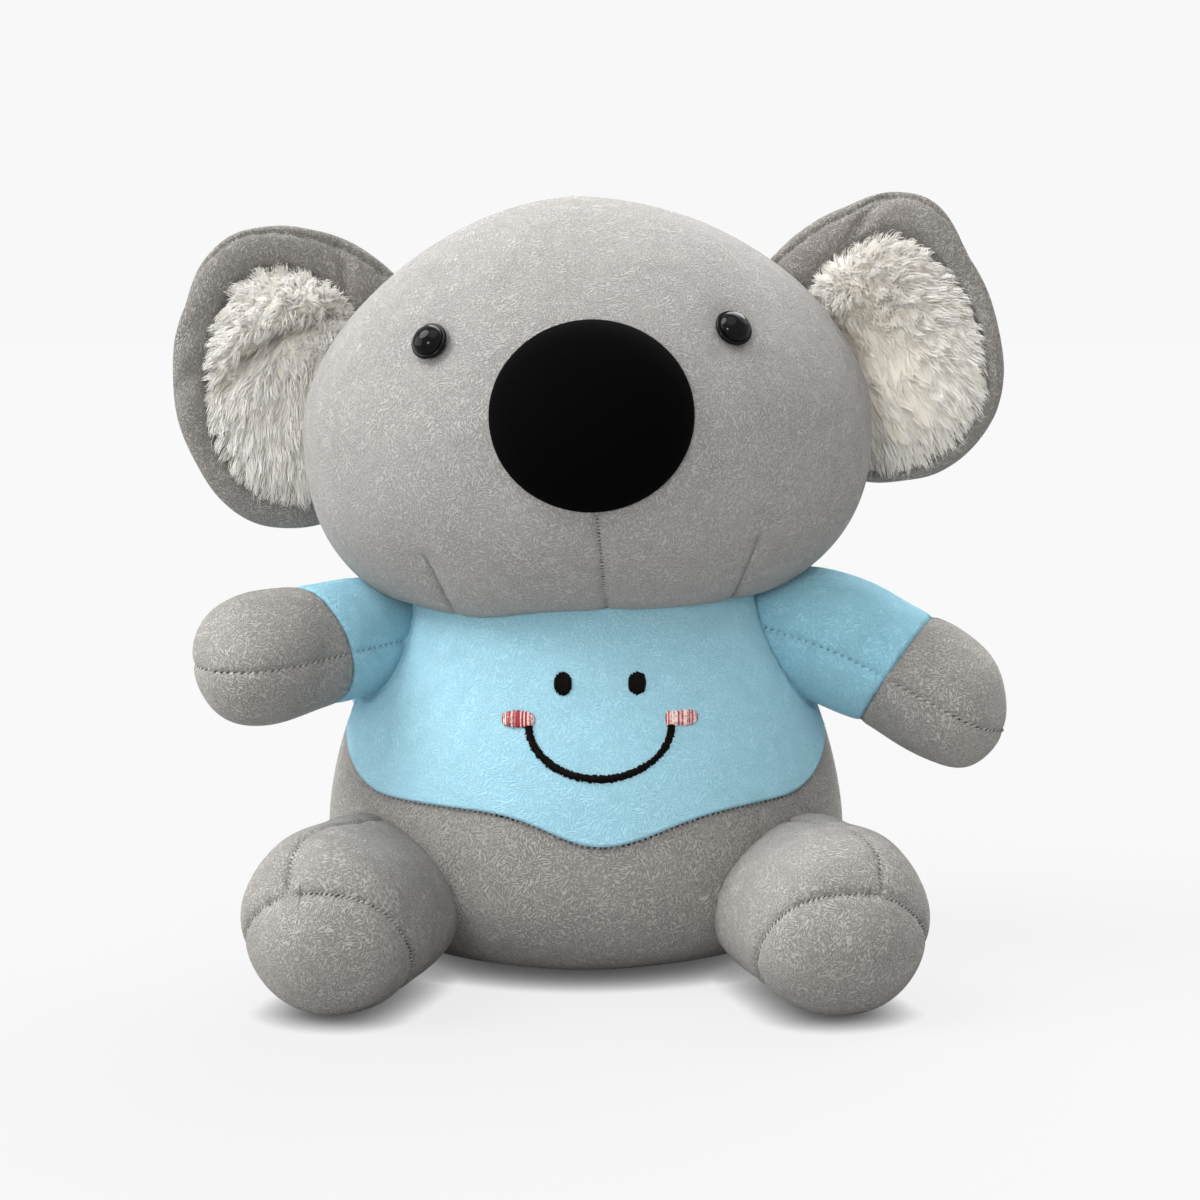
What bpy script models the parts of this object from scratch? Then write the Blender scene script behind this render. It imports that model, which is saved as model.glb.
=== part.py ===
"""Seated plush koala in a short-sleeved top: cloth panels over stuffing, joined by soft seams.

Metres, +Z up. The toy faces -Y, and left and right are the toy's own: its left is +X.
The origin is on the floor under the middle of the seat.
"""

import math

import bmesh
import bpy
import numpy as np
from mathutils import Matrix, Vector

# Cloth, thread and seams
FABRIC = 0.0012  # short-pile plush with its knitted backing
SEAM_GAP = 0.0003  # between panels, and between a panel and what lies under it
THREAD = 0.0008  # height of the embroidery on the chest
OVERRUN = 0.02  # how far cutters run past what they cut
FLOOR_CUT = 0.0005  # how far a form presses flat on the floor

# Torso, an egg that sits on its blunt end
TORSO_HALF_WIDTH = 0.086
TORSO_FRONT = 0.064
TORSO_BACK = 0.060
TORSO_WAIST_HEIGHT = 0.042  # where the torso is widest
TORSO_RISE = 0.132  # from there to the egg's tip, which the neck seam cuts off
TORSO_TOP_POWER = 1.6
TORSO_BOTTOM_POWER = 3.0
NECK_HEIGHT = 0.1215
SIDE_SEAM_FORWARD = 0.010  # the side seams lie this far in front of the middle
SHIRT_BACK_HEM = 0.084
SHIRT_DIP = 0.0485  # lowest point of the wavy front hem
SHIRT_HEM = 0.0590  # the hem on either side of the dip
SHIRT_DIP_HALF_WIDTH = 0.025
SHIRT_SIDE_HEM = 0.0635
MOTIF_SIDE = 0.0045  # the motif and the dip lie this far to the toy's left

# Embroidered smile on the shirt
SMILE_HALF_WIDTH = 0.0222
SMILE_TOP = 0.0868
SMILE_DROP = 0.0172
SMILE_STROKE = 0.0024
DOT_SPACING = 0.0225
DOT_HEIGHT = 0.0987
DOT_HALF_WIDTH = 0.0027
DOT_HALF_HEIGHT = 0.0033
CHEEK_SPACING = 0.0508
CHEEK_HEIGHT = 0.0886
CHEEK_HALF_WIDTH = 0.0050
CHEEK_HALF_HEIGHT = 0.0024

# Head, a wide egg that leans a little to one side
HEAD_HALF_WIDTH = 0.092
HEAD_FRONT = 0.068
HEAD_BACK = 0.066
HEAD_RISE = 0.0545  # from the neck seam up to the middle of the head
HEAD_FORWARD = 0.004
HEAD_CROWN = 0.0724
HEAD_JOWL = 0.066
HEAD_CROWN_POWER = 1.75
HEAD_JOWL_POWER = 2.65
HEAD_LEAN = math.radians(3.5)
HEAD_SEAM_BACK = 0.012  # the seam over the crown lies behind the middle
CHIN_SEAM_TOP = 0.0240  # below the middle of the head
DART_SPACING = 0.1040
DART_TOP = 0.0370
DART_FOOT_SPACING = 0.0840
DART_FOOT = 0.0620

# Padded nose
NOSE_HALF_WIDTH = 0.0312
NOSE_HALF_HEIGHT = 0.0292
NOSE_HEIGHT = 0.0068  # above the middle of the head
NOSE_PROUD = 0.0080
NOSE_SUNK = 0.0050  # its widest part lies this far under the front of the face

# Safety eyes: a glossy dome, a shank through the cloth, and a lock washer inside
EYE_SPACING = 0.0935
EYE_HEIGHT = 0.0300  # above the middle of the head
EYE_RADIUS = 0.0060
EYE_DOME = 0.0036
EYE_RIM = 0.0014
EYE_SHANK_RADIUS = 0.0020
EYE_SHANK = 0.0110
WASHER_RADIUS = 0.0055
WASHER_THICKNESS = 0.0014
WASHER_DEPTH = 0.0016  # below the cloth's back, which is curved

# Ears: a padded grey back, a grey border in front, and a long-pile patch
EAR_OUT = 0.0866  # from the middle of the head
EAR_UP = 0.0198
EAR_BEHIND = 0.013
EAR_RADIUS = 0.050
EAR_FRONT_BULGE = 0.0035
EAR_BACK_BULGE = 0.0110
EAR_TURN = math.radians(12)  # the outer edge comes forward by this much
EAR_BORDER = 0.0125
EAR_PILE = 0.0045
EAR_ROOT_OUT = 0.078
EAR_ROOT_UP = 0.0175
EAR_ROOT_LEAN = math.radians(26)
EAR_FOLD = math.radians(12)
# The outline as shares of the radius, every 30 degrees from straight out, upwards first
EAR_OUTLINE_SHARES = (0.97, 0.955, 1.065, 0.94, 0.82, 0.76, 0.76, 0.76, 0.82, 0.93, 1.03, 1.01)

# Arms, each with a ball-shaped root that sits in a dimple of the torso
SHOULDER_OUT = 0.0675
SHOULDER_FORWARD = 0.007
SHOULDER_DROP = 0.0145  # from the neck seam down to the middle of the shoulder
SHOULDER_BALL = 0.0185
ARM_LENGTH = 0.071
SLEEVE_RADIUS = 0.0200
PAW_RADIUS = 0.0210
CUFF = 0.0325  # from the shoulder's middle
LEFT_ARM_DROOP = math.radians(15)
LEFT_ARM_FORWARD = math.radians(16)
LEFT_ARM_SAG = 0.010  # how far the tip hangs below the arm's axis
RIGHT_ARM_DROOP = math.radians(2)
RIGHT_ARM_FORWARD = math.radians(46)
RIGHT_ARM_SAG = 0.002
ARM_BACK = math.radians(15)
ARM_FORWARD = math.radians(20)

# Legs, rooted in the same way
HIP_OUT = 0.0600
HIP_FORWARD = 0.0400
HIP_BALL = 0.0250
LEG_LENGTH = 0.0660
THIGH_RADIUS = 0.0272
FOOT_RADIUS = 0.0288
SOLE_DEPTH = 0.0150  # how far back the sole panel reaches from the toe
SOLE_TILT = math.radians(36)  # how far its upper edge leans over the toe
LEG_SPLAY = math.radians(24)
LEG_SWING = math.radians(12)  # each way

# Limb profiles beyond the root: how far along the limb, and how wide for its widest radius
ARM_ALONG_SHARES = (0.42, 0.72, 0.91)
PAW_TIP_SHARE = 0.745
LEG_ALONG_SHARES = (0.32, 0.63, 0.86)
TOE_SHARE = 0.80
ROOT_SEAM_SHARE = 0.3  # how far a limb's cloth runs into its dimple, by the root's radius

LEFT, RIGHT = 1, -1
WORDS = {LEFT: "left", RIGHT: "right"}

# Colour and roughness of each material
FINISHES = {
    "grey_plush": ((0.235, 0.228, 0.222), 0.95),
    "blue_plush": ((0.33, 0.66, 0.78), 0.95),
    "cream_fur": ((0.85, 0.81, 0.72), 1.0),
    "white_wadding": ((0.85, 0.86, 0.87), 1.0),
    "black_plush": ((0.004, 0.004, 0.004), 0.95),
    "black_plastic": ((0.006, 0.006, 0.007), 0.08),
    "white_plastic": ((0.75, 0.75, 0.73), 0.4),
    "dark_thread": ((0.012, 0.006, 0.005), 0.6),
    "coral_thread": ((0.60, 0.12, 0.12), 0.6),
}


def material(name):
    made = bpy.data.materials.get(name)
    if made is None:
        colour, roughness = FINISHES[name]
        made = bpy.data.materials.new(name)
        made.use_nodes = True
        shader = made.node_tree.nodes["Principled BSDF"]
        shader.inputs["Base Color"].default_value = (*colour, 1)
        shader.inputs["Roughness"].default_value = roughness
        shader.inputs["Metallic"].default_value = 0
    return made


def new_collection(name):
    collection = bpy.data.collections.new(name)
    bpy.context.scene.collection.children.link(collection)
    return collection


def new_part(name, mesh, finish, parent=None):
    part = bpy.data.objects.new(name, mesh)
    parts.objects.link(part)
    part.parent = parent
    mesh.materials.clear()
    mesh.materials.append(material(finish))
    return part


def new_tool(name, mesh, parent=None):
    """A cutter or guide, which is no piece of the toy."""
    tool = bpy.data.objects.new(name, mesh)
    tools.objects.link(tool)
    tool.parent = parent
    tool.hide_render = True
    tool.display_type = "WIRE"
    return tool


def pivot(name, frame, parent=None):
    """An empty on a joint's axis, which carries the pieces that move there."""
    empty = bpy.data.objects.new(name, None)
    parts.objects.link(empty)
    empty.parent = parent
    empty.matrix_world = frame
    return empty


def modify(part, kind, **settings):
    modifier = part.modifiers.new(kind.title(), kind)
    for name, value in settings.items():
        setattr(modifier, name, value)


def cut(part, *cutters):
    for cutter in cutters:
        modify(part, "BOOLEAN", operation="DIFFERENCE", object=cutter)


def keep(part, region):
    modify(part, "BOOLEAN", operation="INTERSECT", object=region)


def finished_mesh(name, shape):
    mesh = bpy.data.meshes.new(name)
    shape.to_mesh(mesh)
    shape.free()
    return mesh


# Soft forms: a coarse cage, smoothed by Subdivision Surface


def smoothed_place(vert):
    """Where the smooth (Catmull-Clark limit) surface lies over one corner of a cage."""
    count = len(vert.link_edges)
    face_sum = sum((face.calc_center_median() for face in vert.link_faces), Vector())
    neighbour_sum = sum((edge.other_vert(vert).co for edge in vert.link_edges), Vector())
    edge_sum = (vert.co * count + neighbour_sum + face_sum * 2) / 4
    corner_sum = face_sum + neighbour_sum + vert.co * (count - 2) * count
    return (corner_sum + edge_sum * 4 + face_sum) / (count * (count + 5))


def soft_cage(name, around, along, shape):
    """A cage whose smooth surface passes through shape(direction) over each of its corners."""
    cage = bmesh.new()
    bmesh.ops.create_uvsphere(cage, u_segments=around, v_segments=along, radius=1)
    wanted = {vert: shape(vert.co.normalized()) for vert in cage.verts}
    for vert, place in wanted.items():
        vert.co = place
    for _ in range(4):
        misses = {vert: place - smoothed_place(vert) for vert, place in wanted.items()}
        for vert, miss in misses.items():
            vert.co += miss
    bmesh.ops.recalc_face_normals(cage, faces=cage.faces)
    return finished_mesh(name, cage)


def smooth(part):
    modify(part, "SUBSURF", levels=1, render_levels=1)
    modify(part, "TRIANGULATE", quad_method="FIXED")


def swollen(name, cage, parent, by):
    """A form as a solid tool, larger all round by a distance."""
    tool = new_tool(name, cage.copy(), parent)
    smooth(tool)
    modify(tool, "DISPLACE", strength=by, mid_level=0)
    return tool


def panel(name, cage, finish, region, parent=None, pile=0.0):
    """A cloth panel: the form's skin inside a region. Long pile stands up outside the form."""
    sheet = new_part(name, cage.copy(), finish, parent)
    smooth(sheet)
    thickness = FABRIC + pile
    modify(sheet, "SOLIDIFY", thickness=thickness, offset=1 - 2 * FABRIC / thickness)
    keep(sheet, region)
    return sheet


def stuffing(name, cage, parent=None):
    """What fills a form, just inside its skin."""
    fill = new_part(name, cage.copy(), "white_wadding", parent)
    smooth(fill)
    modify(fill, "DISPLACE", strength=-(FABRIC + SEAM_GAP), mid_level=0)
    return fill


# Tools that the pieces are cut with


def block(name, low, high, parent=None, turn=None):
    """A box from its low to its high corner, turned about its parent's origin."""
    shape = bmesh.new()
    bmesh.ops.create_cube(shape, size=1)
    bmesh.ops.scale(shape, vec=Vector(high) - Vector(low), verts=shape.verts)
    bmesh.ops.translate(shape, vec=(Vector(low) + Vector(high)) / 2, verts=shape.verts)
    if turn:
        bmesh.ops.transform(shape, matrix=turn, verts=shape.verts)
    return new_tool(name, finished_mesh(name, shape), parent)


def faceted_ball(name, place, radius, along, outside):
    """A ball with its facets outside the round ball of this radius, or with its corners on it."""
    reach = radius / math.cos(math.pi / along / 2) ** 2 if outside else radius
    shape = bmesh.new()
    bmesh.ops.create_uvsphere(shape, u_segments=along * 2, v_segments=along, radius=reach)
    tool = new_tool(name, finished_mesh(name, shape))
    tool.location = place
    return tool


def outline_mesh(name, outline, front, back):
    """An outline in the XZ plane as a solid from front to back along Y."""
    curve = bpy.data.curves.new(name, "CURVE")
    curve.dimensions = "2D"
    curve.fill_mode = "BOTH"
    curve.extrude = (back - front) / 2
    spline = curve.splines.new("POLY")
    spline.points.add(len(outline) - 1)
    for point, (x, z) in zip(spline.points, outline):
        point.co = (x, z, 0, 1)
    spline.use_cyclic_u = True
    drawn = bpy.data.objects.new(name, curve)
    tools.objects.link(drawn)
    bpy.context.view_layer.update()
    graph = bpy.context.evaluated_depsgraph_get()
    mesh = bpy.data.meshes.new_from_object(drawn.evaluated_get(graph))
    bpy.data.objects.remove(drawn)
    shape = bmesh.new()
    shape.from_mesh(mesh)
    bmesh.ops.remove_doubles(shape, verts=shape.verts, dist=SEAM_GAP / 30)
    middle = Matrix.Translation((0, (front + back) / 2, 0))
    upright = middle @ Matrix.Rotation(math.pi / 2, 4, "X")
    bmesh.ops.transform(shape, matrix=upright, verts=shape.verts)
    bmesh.ops.recalc_face_normals(shape, faces=shape.faces)
    return finished_mesh(name, shape)


def turned_mesh(name, profile):
    """A profile for a Screw modifier; it is a loop where it doesn't start on the axis."""
    closed = profile[0][0] > 0
    count = len(profile)
    edges = [(number, (number + 1) % count) for number in range(count if closed else count - 1)]
    mesh = bpy.data.meshes.new(name)
    mesh.from_pydata([(radius, 0, height) for radius, height in profile], edges, [])
    return mesh


def turn_round(part, frame, steps=16):
    part.matrix_local = frame
    modify(
        part, "SCREW", steps=steps, render_steps=steps,
        use_merge_vertices=True, merge_threshold=SEAM_GAP / 30,
    )
    return part


def ring_profile(inner, outer, top, bottom):
    return [(inner, top), (outer, top), (outer, bottom), (inner, bottom)]


def as_solid(name, tool):
    """A tool's evaluated shape in world places, as a plain mesh."""
    bpy.context.view_layer.update()
    graph = bpy.context.evaluated_depsgraph_get()
    mesh = bpy.data.meshes.new_from_object(tool.evaluated_get(graph))
    mesh.transform(tool.matrix_world)
    mesh.name = name
    return mesh


def swung(name, body, centre, axis, angles):
    """A body as a moving piece meets it at rest and at the angles of its swing."""
    there = Matrix.Translation(centre)
    cutters = []
    for number, angle in enumerate((0, *angles)):
        cutter = new_tool(f"{name}_{number}", body)
        cutter.matrix_world = there @ Matrix.Rotation(-angle, 4, axis) @ there.inverted()
        cutters.append(cutter)
    return cutters


def swept(name, body, centre, axis, angles, plug):
    """All that a body covers as a moving piece swings, but for the ball that the piece turns in."""
    whole, *others = swung(name, body, centre, axis, angles)
    for other in others:
        modify(whole, "BOOLEAN", operation="UNION", object=other)
    cut(whole, plug)
    return whole


# The forms, each a function of the direction from its middle


def egg(direction, half_width, front, back, heights, powers):
    """A superellipsoid with its own reach to the front, the back, the top and the bottom."""
    across = math.hypot(direction.x / half_width, direction.y / (front if direction.y < 0 else back))
    upper = direction.z > 0
    height = heights[0] if upper else heights[1]
    power = powers[0] if upper else powers[1]
    return direction * (across**power + (abs(direction.z) / height) ** power) ** (-1 / power)


def torso_shape(direction):
    heights = (TORSO_RISE, TORSO_WAIST_HEIGHT + FLOOR_CUT)
    powers = (TORSO_TOP_POWER, TORSO_BOTTOM_POWER)
    place = egg(direction, TORSO_HALF_WIDTH, TORSO_FRONT, TORSO_BACK, heights, powers)
    return place + Vector((0, 0, TORSO_WAIST_HEIGHT))


def head_shape(direction):
    heights = (HEAD_CROWN, HEAD_JOWL)
    powers = (HEAD_CROWN_POWER, HEAD_JOWL_POWER)
    return egg(direction, HEAD_HALF_WIDTH, HEAD_FRONT, HEAD_BACK, heights, powers)


def face_frame(x, z):
    """A frame on the front of the head, its Z axis out of the cloth and its Y axis up the face."""
    height, power = (HEAD_CROWN, HEAD_CROWN_POWER) if z > 0 else (HEAD_JOWL, HEAD_JOWL_POWER)
    across = (1 - (abs(z) / height) ** power) ** (1 / power)
    y = -HEAD_FRONT * math.sqrt(across**2 - (x / HEAD_HALF_WIDTH) ** 2)
    steep = across ** (power - 2)
    rise = math.copysign((abs(z) / height) ** (power - 1) / height, z)
    out = Vector((x / HEAD_HALF_WIDTH**2 * steep, y / HEAD_FRONT**2 * steep, rise)).normalized()
    side = Vector((0, 0, 1)).cross(out).normalized()
    turn = Matrix((side, out.cross(side), out)).transposed()
    return Matrix.Translation((x, y, z)) @ turn.to_4x4()


def limb_shape(rings, root, tip, sag=0.0):
    """A limb along +Z through rings of (height, radius), its tip hanging by the sag towards -X."""

    def shape(direction):
        polar = math.acos(max(-1, min(1, direction.z)))
        number = round((1 - polar / math.pi) * (len(rings) + 1))
        height, radius = ((-root, 0), *rings, (tip, 0))[number]
        flat = Vector((direction.x, direction.y, 0)).normalized() * radius
        return flat + Vector((-sag * (max(0, height) / tip) ** 2, 0, height))

    return shape


def limb_rings(ball, length, along_shares, radii):
    """A ball-shaped root, then rings at shares of the limb's length."""
    root = [(-ball * math.sqrt(0.5), ball * math.sqrt(0.5)), (ball / 6, ball)]
    return root + [(length * share, radius) for share, radius in zip(along_shares, radii)]


def limb_frame(place, direction):
    """A limb's frame: Z along it, X upwards, and Y the axis that a turn about lifts it."""
    out = direction.normalized()
    up = (Vector((0, 0, 1)) - out * out.z).normalized()
    turn = Matrix((up, out.cross(up), out)).transposed()
    return Matrix.Translation(place) @ turn.to_4x4()


def ear_shape(side):
    """An ear that faces -Y: a flat front and a full back inside the outline of the share table."""
    shares = EAR_OUTLINE_SHARES

    def shape(direction):
        angle = math.degrees(math.atan2(direction.z, direction.x * side)) % 360
        outline = EAR_RADIUS * np.interp(angle, np.arange(13) * 30, (*shares, shares[0]))
        flat = Vector((direction.x, 0, direction.z))
        bulge = EAR_BACK_BULGE if direction.y > 0 else EAR_FRONT_BULGE
        if flat.length > abs(direction.y) / 100:
            flat = flat.normalized() * outline * flat.length**0.8
        else:
            flat = Vector()
        return flat + Vector((0, bulge * direction.y, 0))

    return shape


def oval(x, z, half_width, half_height, power=2.0, count=12):
    """An outline round a point: an ellipse, or squarer with a higher power."""
    points = []
    for number in range(count):
        angle = 2 * math.pi * number / count
        across, up = math.cos(angle), math.sin(angle)
        points.append(
            (
                x + half_width * math.copysign(abs(across) ** (2 / power), across),
                z + half_height * math.copysign(abs(up) ** (2 / power), up),
            )
        )
    return points


# Torso and shirt


def shoulder(side):
    return Vector((side * SHOULDER_OUT, -SHOULDER_FORWARD, NECK_HEIGHT - SHOULDER_DROP))


def hip(side):
    return Vector((side * HIP_OUT, -HIP_FORWARD, FOOT_RADIUS - FLOOR_CUT))


def hem_height(x):
    """The front hem: level, with a dip in the middle and a slight rise to the side seams."""
    dip = math.exp(-(((x - MOTIF_SIDE) / SHIRT_DIP_HALF_WIDTH) ** 2))
    rise = min(1, abs(x) / TORSO_HALF_WIDTH) ** 4
    return SHIRT_HEM - (SHIRT_HEM - SHIRT_DIP) * dip + (SHIRT_SIDE_HEM - SHIRT_HEM) * rise


def build_torso():
    wide = TORSO_HALF_WIDTH + OVERRUN
    front = -(TORSO_FRONT + OVERRUN)
    back = TORSO_BACK + OVERRUN
    top = NECK_HEIGHT - SEAM_GAP / 2
    half = SEAM_GAP / 2
    seam = -SIDE_SEAM_FORWARD
    cage = soft_cage("torso_form", 12, 6, torso_shape)
    balls = {"shoulder": (shoulder, SHOULDER_BALL), "hip": (hip, HIP_BALL)}
    dimples = []
    for joint, (place, ball) in balls.items():
        for side, word in WORDS.items():
            name = f"{joint}_dimple_{word}"
            dimples.append(faceted_ball(name, place(side), ball + SEAM_GAP, 8, True))

    hem = [(x, hem_height(x)) for x in np.linspace(-wide, wide, 19)]
    shirt = [(x, z + half) for x, z in hem] + [(wide, top), (-wide, top)]
    below = [(-wide, 0), (wide, 0)] + [(x, z - half) for x, z in reversed(hem)]
    over_hem = new_tool("over_hem", outline_mesh("over_hem", shirt, front, seam - half))
    under_hem = new_tool("under_hem", outline_mesh("under_hem", below, front, seam - half))
    shirt_back = block("shirt_back_room", (-wide, seam + half, SHIRT_BACK_HEM + half), (wide, back, top))
    seat = block("seat_room", (-wide, seam + half, 0), (wide, back, SHIRT_BACK_HEM - half))

    cut(panel("shirt_front", cage, "blue_plush", over_hem), *dimples)
    cut(panel("shirt_back", cage, "blue_plush", shirt_back), *dimples)
    cut(panel("lower_front_panel", cage, "grey_plush", under_hem), *dimples)
    cut(panel("seat_panel", cage, "grey_plush", seat), *dimples)
    fill = stuffing("torso_stuffing", cage)
    keep(fill, block("under_neck_seam", (-wide, front, -OVERRUN), (wide, back, top)))
    cut(fill, *dimples)
    build_embroidery(cage, front, seam)

    return as_solid("torso_body_solid", swollen("torso_body", cage, None, SEAM_GAP * 2))


def build_embroidery(cage, front, back):
    """Raised stitching on the shirt front: a smile, two dots and two cheeks."""
    over = swollen("thread_top", cage, None, SEAM_GAP + THREAD)
    under = swollen("thread_bed", cage, None, SEAM_GAP)

    def stitched(name, outline, finish):
        thread = new_part(name, outline_mesh(name, outline, front, back), finish)
        keep(thread, over)
        cut(thread, under)
        return thread

    band = []
    for edge, angles in ((1, np.linspace(0, math.pi, 13)), (-1, np.linspace(math.pi, 0, 13))):
        reach = edge * SMILE_STROKE / 2
        for angle in angles:
            x = MOTIF_SIDE - (SMILE_HALF_WIDTH + reach) * math.cos(angle)
            band.append((x, SMILE_TOP - (SMILE_DROP + reach) * math.sin(angle)))
    smile = stitched("embroidered_smile", band, "dark_thread")
    for side, word in WORDS.items():
        dot = oval(MOTIF_SIDE + side * DOT_SPACING / 2, DOT_HEIGHT, DOT_HALF_WIDTH, DOT_HALF_HEIGHT)
        stitched(f"embroidered_dot_{word}", dot, "dark_thread")
        x = MOTIF_SIDE + side * CHEEK_SPACING / 2
        cheek = oval(x, CHEEK_HEIGHT, CHEEK_HALF_WIDTH, CHEEK_HALF_HEIGHT, 3.0)
        stitched(f"embroidered_cheek_{word}", cheek, "coral_thread")
        name = f"cheek_room_{word}"
        wide, tall = CHEEK_HALF_WIDTH + SEAM_GAP, CHEEK_HALF_HEIGHT + SEAM_GAP
        room = outline_mesh(name, oval(x, CHEEK_HEIGHT, wide, tall, 3.0), front, back)
        cut(smile, new_tool(name, room))


# Head


def build_eye(side, head, bed):
    """One safety eye and its washer. Its rim lies on the face; returns its hole and its pocket."""
    word = WORDS[side]
    frame = face_frame(side * EYE_SPACING / 2, EYE_HEIGHT)
    dome = [
        (EYE_RADIUS * math.sin(angle), EYE_RIM + EYE_DOME * math.cos(angle))
        for angle in np.linspace(0, math.pi / 2, 5)
    ]
    shank = [(EYE_SHANK_RADIUS, -EYE_RIM), (EYE_SHANK_RADIUS, -EYE_SHANK), (0, -EYE_SHANK)]
    profile = dome + [(EYE_RADIUS, -EYE_RIM)] + shank
    eye = new_part(f"eye_{word}", turned_mesh(f"eye_{word}", profile), "black_plastic", head)
    turn_round(eye, frame)
    name = f"eye_seat_{word}"
    ring = ring_profile(EYE_SHANK_RADIUS, EYE_RADIUS * 2, EYE_DOME, -EYE_RIM * 3)
    seat = turn_round(new_tool(name, turned_mesh(name, ring), head), frame)
    keep(seat, bed)
    cut(eye, seat)

    bore = EYE_SHANK_RADIUS + SEAM_GAP
    top = -(FABRIC + WASHER_DEPTH)
    name = f"eye_washer_{word}"
    ring = ring_profile(bore, WASHER_RADIUS, top, top - WASHER_THICKNESS)
    turn_round(new_part(name, turned_mesh(name, ring), "white_plastic", head), frame)

    bores = {f"eye_hole_{word}": bore, f"eye_pocket_{word}": WASHER_RADIUS + SEAM_GAP}
    bottom = -EYE_SHANK - SEAM_GAP
    rods = []
    for name, radius in bores.items():
        profile = [(0, OVERRUN), (radius, OVERRUN), (radius, bottom), (0, bottom)]
        rods.append(turn_round(new_tool(name, turned_mesh(name, profile), head), frame))
    return rods


def build_nose(head, bed):
    """A plush cover over a pad, seated on the face."""
    frame = face_frame(0, NOSE_HEIGHT)
    size = Vector((NOSE_HALF_WIDTH, NOSE_HALF_HEIGHT, NOSE_PROUD + NOSE_SUNK))
    sunk = Vector((0, 0, NOSE_SUNK))
    cage = soft_cage("nose_form", 10, 4, lambda way: frame @ (way * size - sunk))
    reach = NOSE_HALF_WIDTH + OVERRUN
    room = block("nose_room", (-reach, -HEAD_FRONT - reach, -reach), (reach, 0, reach), head)
    cut(panel("nose_cover", cage, "black_plush", room, head), bed)
    cut(stuffing("nose_pad", cage, head), bed)


def seam_slit(name, top, foot, head):
    """A dart or seam that opens the face's cloth by a seam gap, between two points (x, z)."""
    half = SEAM_GAP / 2
    outline = [
        (foot[0] - half, foot[1]),
        (foot[0] + half, foot[1]),
        (top[0] + half, top[1]),
        (top[0] - half, top[1]),
    ]
    return new_tool(name, outline_mesh(name, outline, -HEAD_FRONT - OVERRUN, -OVERRUN), head)


def build_head():
    middle = Matrix.Translation((0, -HEAD_FORWARD, NECK_HEIGHT + HEAD_RISE))
    frame = middle @ Matrix.Rotation(-HEAD_LEAN, 4, "Y")
    head = pivot("head_pivot", frame)
    cage = soft_cage("head_form", 12, 6, head_shape)
    wide = HEAD_HALF_WIDTH + OVERRUN
    half = SEAM_GAP / 2
    bed = swollen("face_bed", cage, head, SEAM_GAP)
    below = block("below_head", (-wide, -wide, 0), (wide, wide, NECK_HEIGHT + half))
    face_room = block("face_room", (-wide, -wide, -wide), (wide, HEAD_SEAM_BACK - half, wide), head)
    back_room = block("back_room", (-wide, HEAD_SEAM_BACK + half, -wide), (wide, wide, wide), head)

    rods = [build_eye(side, head, bed) for side in WORDS]
    slits = [seam_slit("chin_seam", (0, -CHIN_SEAM_TOP), (0, -HEAD_JOWL), head)]
    for side, word in WORDS.items():
        top = (side * DART_SPACING / 2, -DART_TOP)
        foot = (side * DART_FOOT_SPACING / 2, -DART_FOOT)
        slits.append(seam_slit(f"dart_{word}", top, foot, head))
    face = panel("face_panel", cage, "grey_plush", face_room, head)
    cut(face, below, *(hole for hole, _ in rods), *slits)
    cut(panel("head_back_panel", cage, "grey_plush", back_room, head), below)
    cut(stuffing("head_stuffing", cage, head), below, *(pocket for _, pocket in rods))
    build_nose(head, bed)
    return head, as_solid("head_body_solid", bed)


def build_ear(side, head, head_body):
    word = WORDS[side]
    head_frame = head.matrix_world.copy()
    lean = Matrix.Rotation(-side * EAR_ROOT_LEAN, 4, "Y")
    root = head_frame @ Matrix.Translation((side * EAR_ROOT_OUT, EAR_BEHIND, EAR_ROOT_UP)) @ lean
    ear = pivot(f"ear_{word}_pivot", root, head)
    turn = Matrix.Rotation(-side * EAR_TURN, 4, "Z")
    middle = head_frame @ Matrix.Translation((side * EAR_OUT, EAR_BEHIND, EAR_UP)) @ turn
    to_ear = root.inverted() @ middle
    shape = ear_shape(side)
    cage = soft_cage(f"ear_form_{word}", 12, 4, lambda way: to_ear @ shape(Vector((way.x, -way.z, way.y))))

    far = EAR_RADIUS + OVERRUN
    half = SEAM_GAP / 2
    shares = EAR_OUTLINE_SHARES
    inner = []
    for number, share in enumerate(shares):
        angle = math.radians(number * 360 / len(shares))
        border = EAR_BORDER if math.cos(angle) > -0.6 else -OVERRUN
        reach = EAR_RADIUS * share - border
        inner.append(Vector((side * reach * math.cos(angle), reach * math.sin(angle))))

    def patch_tool(name, grow):
        outline = [tuple(point + point.normalized() * grow) for point in inner]
        tool = new_tool(name, outline_mesh(name, outline, -far, -half), ear)
        tool.matrix_local = to_ear
        return tool

    back_room = block(f"ear_back_room_{word}", (-far, half, -far), (far, far, far), ear, to_ear)
    front_room = block(f"ear_front_room_{word}", (-far, -far, -far), (far, -half, far), ear, to_ear)
    axis = root.to_3x3() @ Vector((0, 0, 1))
    clear = swung(f"head_by_ear_{word}", head_body, root.translation, axis, (-EAR_FOLD, EAR_FOLD))
    border = panel(f"ear_border_{word}", cage, "grey_plush", front_room, ear)
    cut(border, patch_tool(f"ear_patch_room_{word}", half), *clear)
    patch = patch_tool(f"ear_patch_{word}", -half)
    cut(panel(f"ear_fur_{word}", cage, "cream_fur", patch, ear, EAR_PILE), *clear)
    cut(panel(f"ear_back_{word}", cage, "grey_plush", back_room, ear), *clear)
    cut(stuffing(f"ear_wadding_{word}", cage, ear), *clear)


# Limbs


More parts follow.
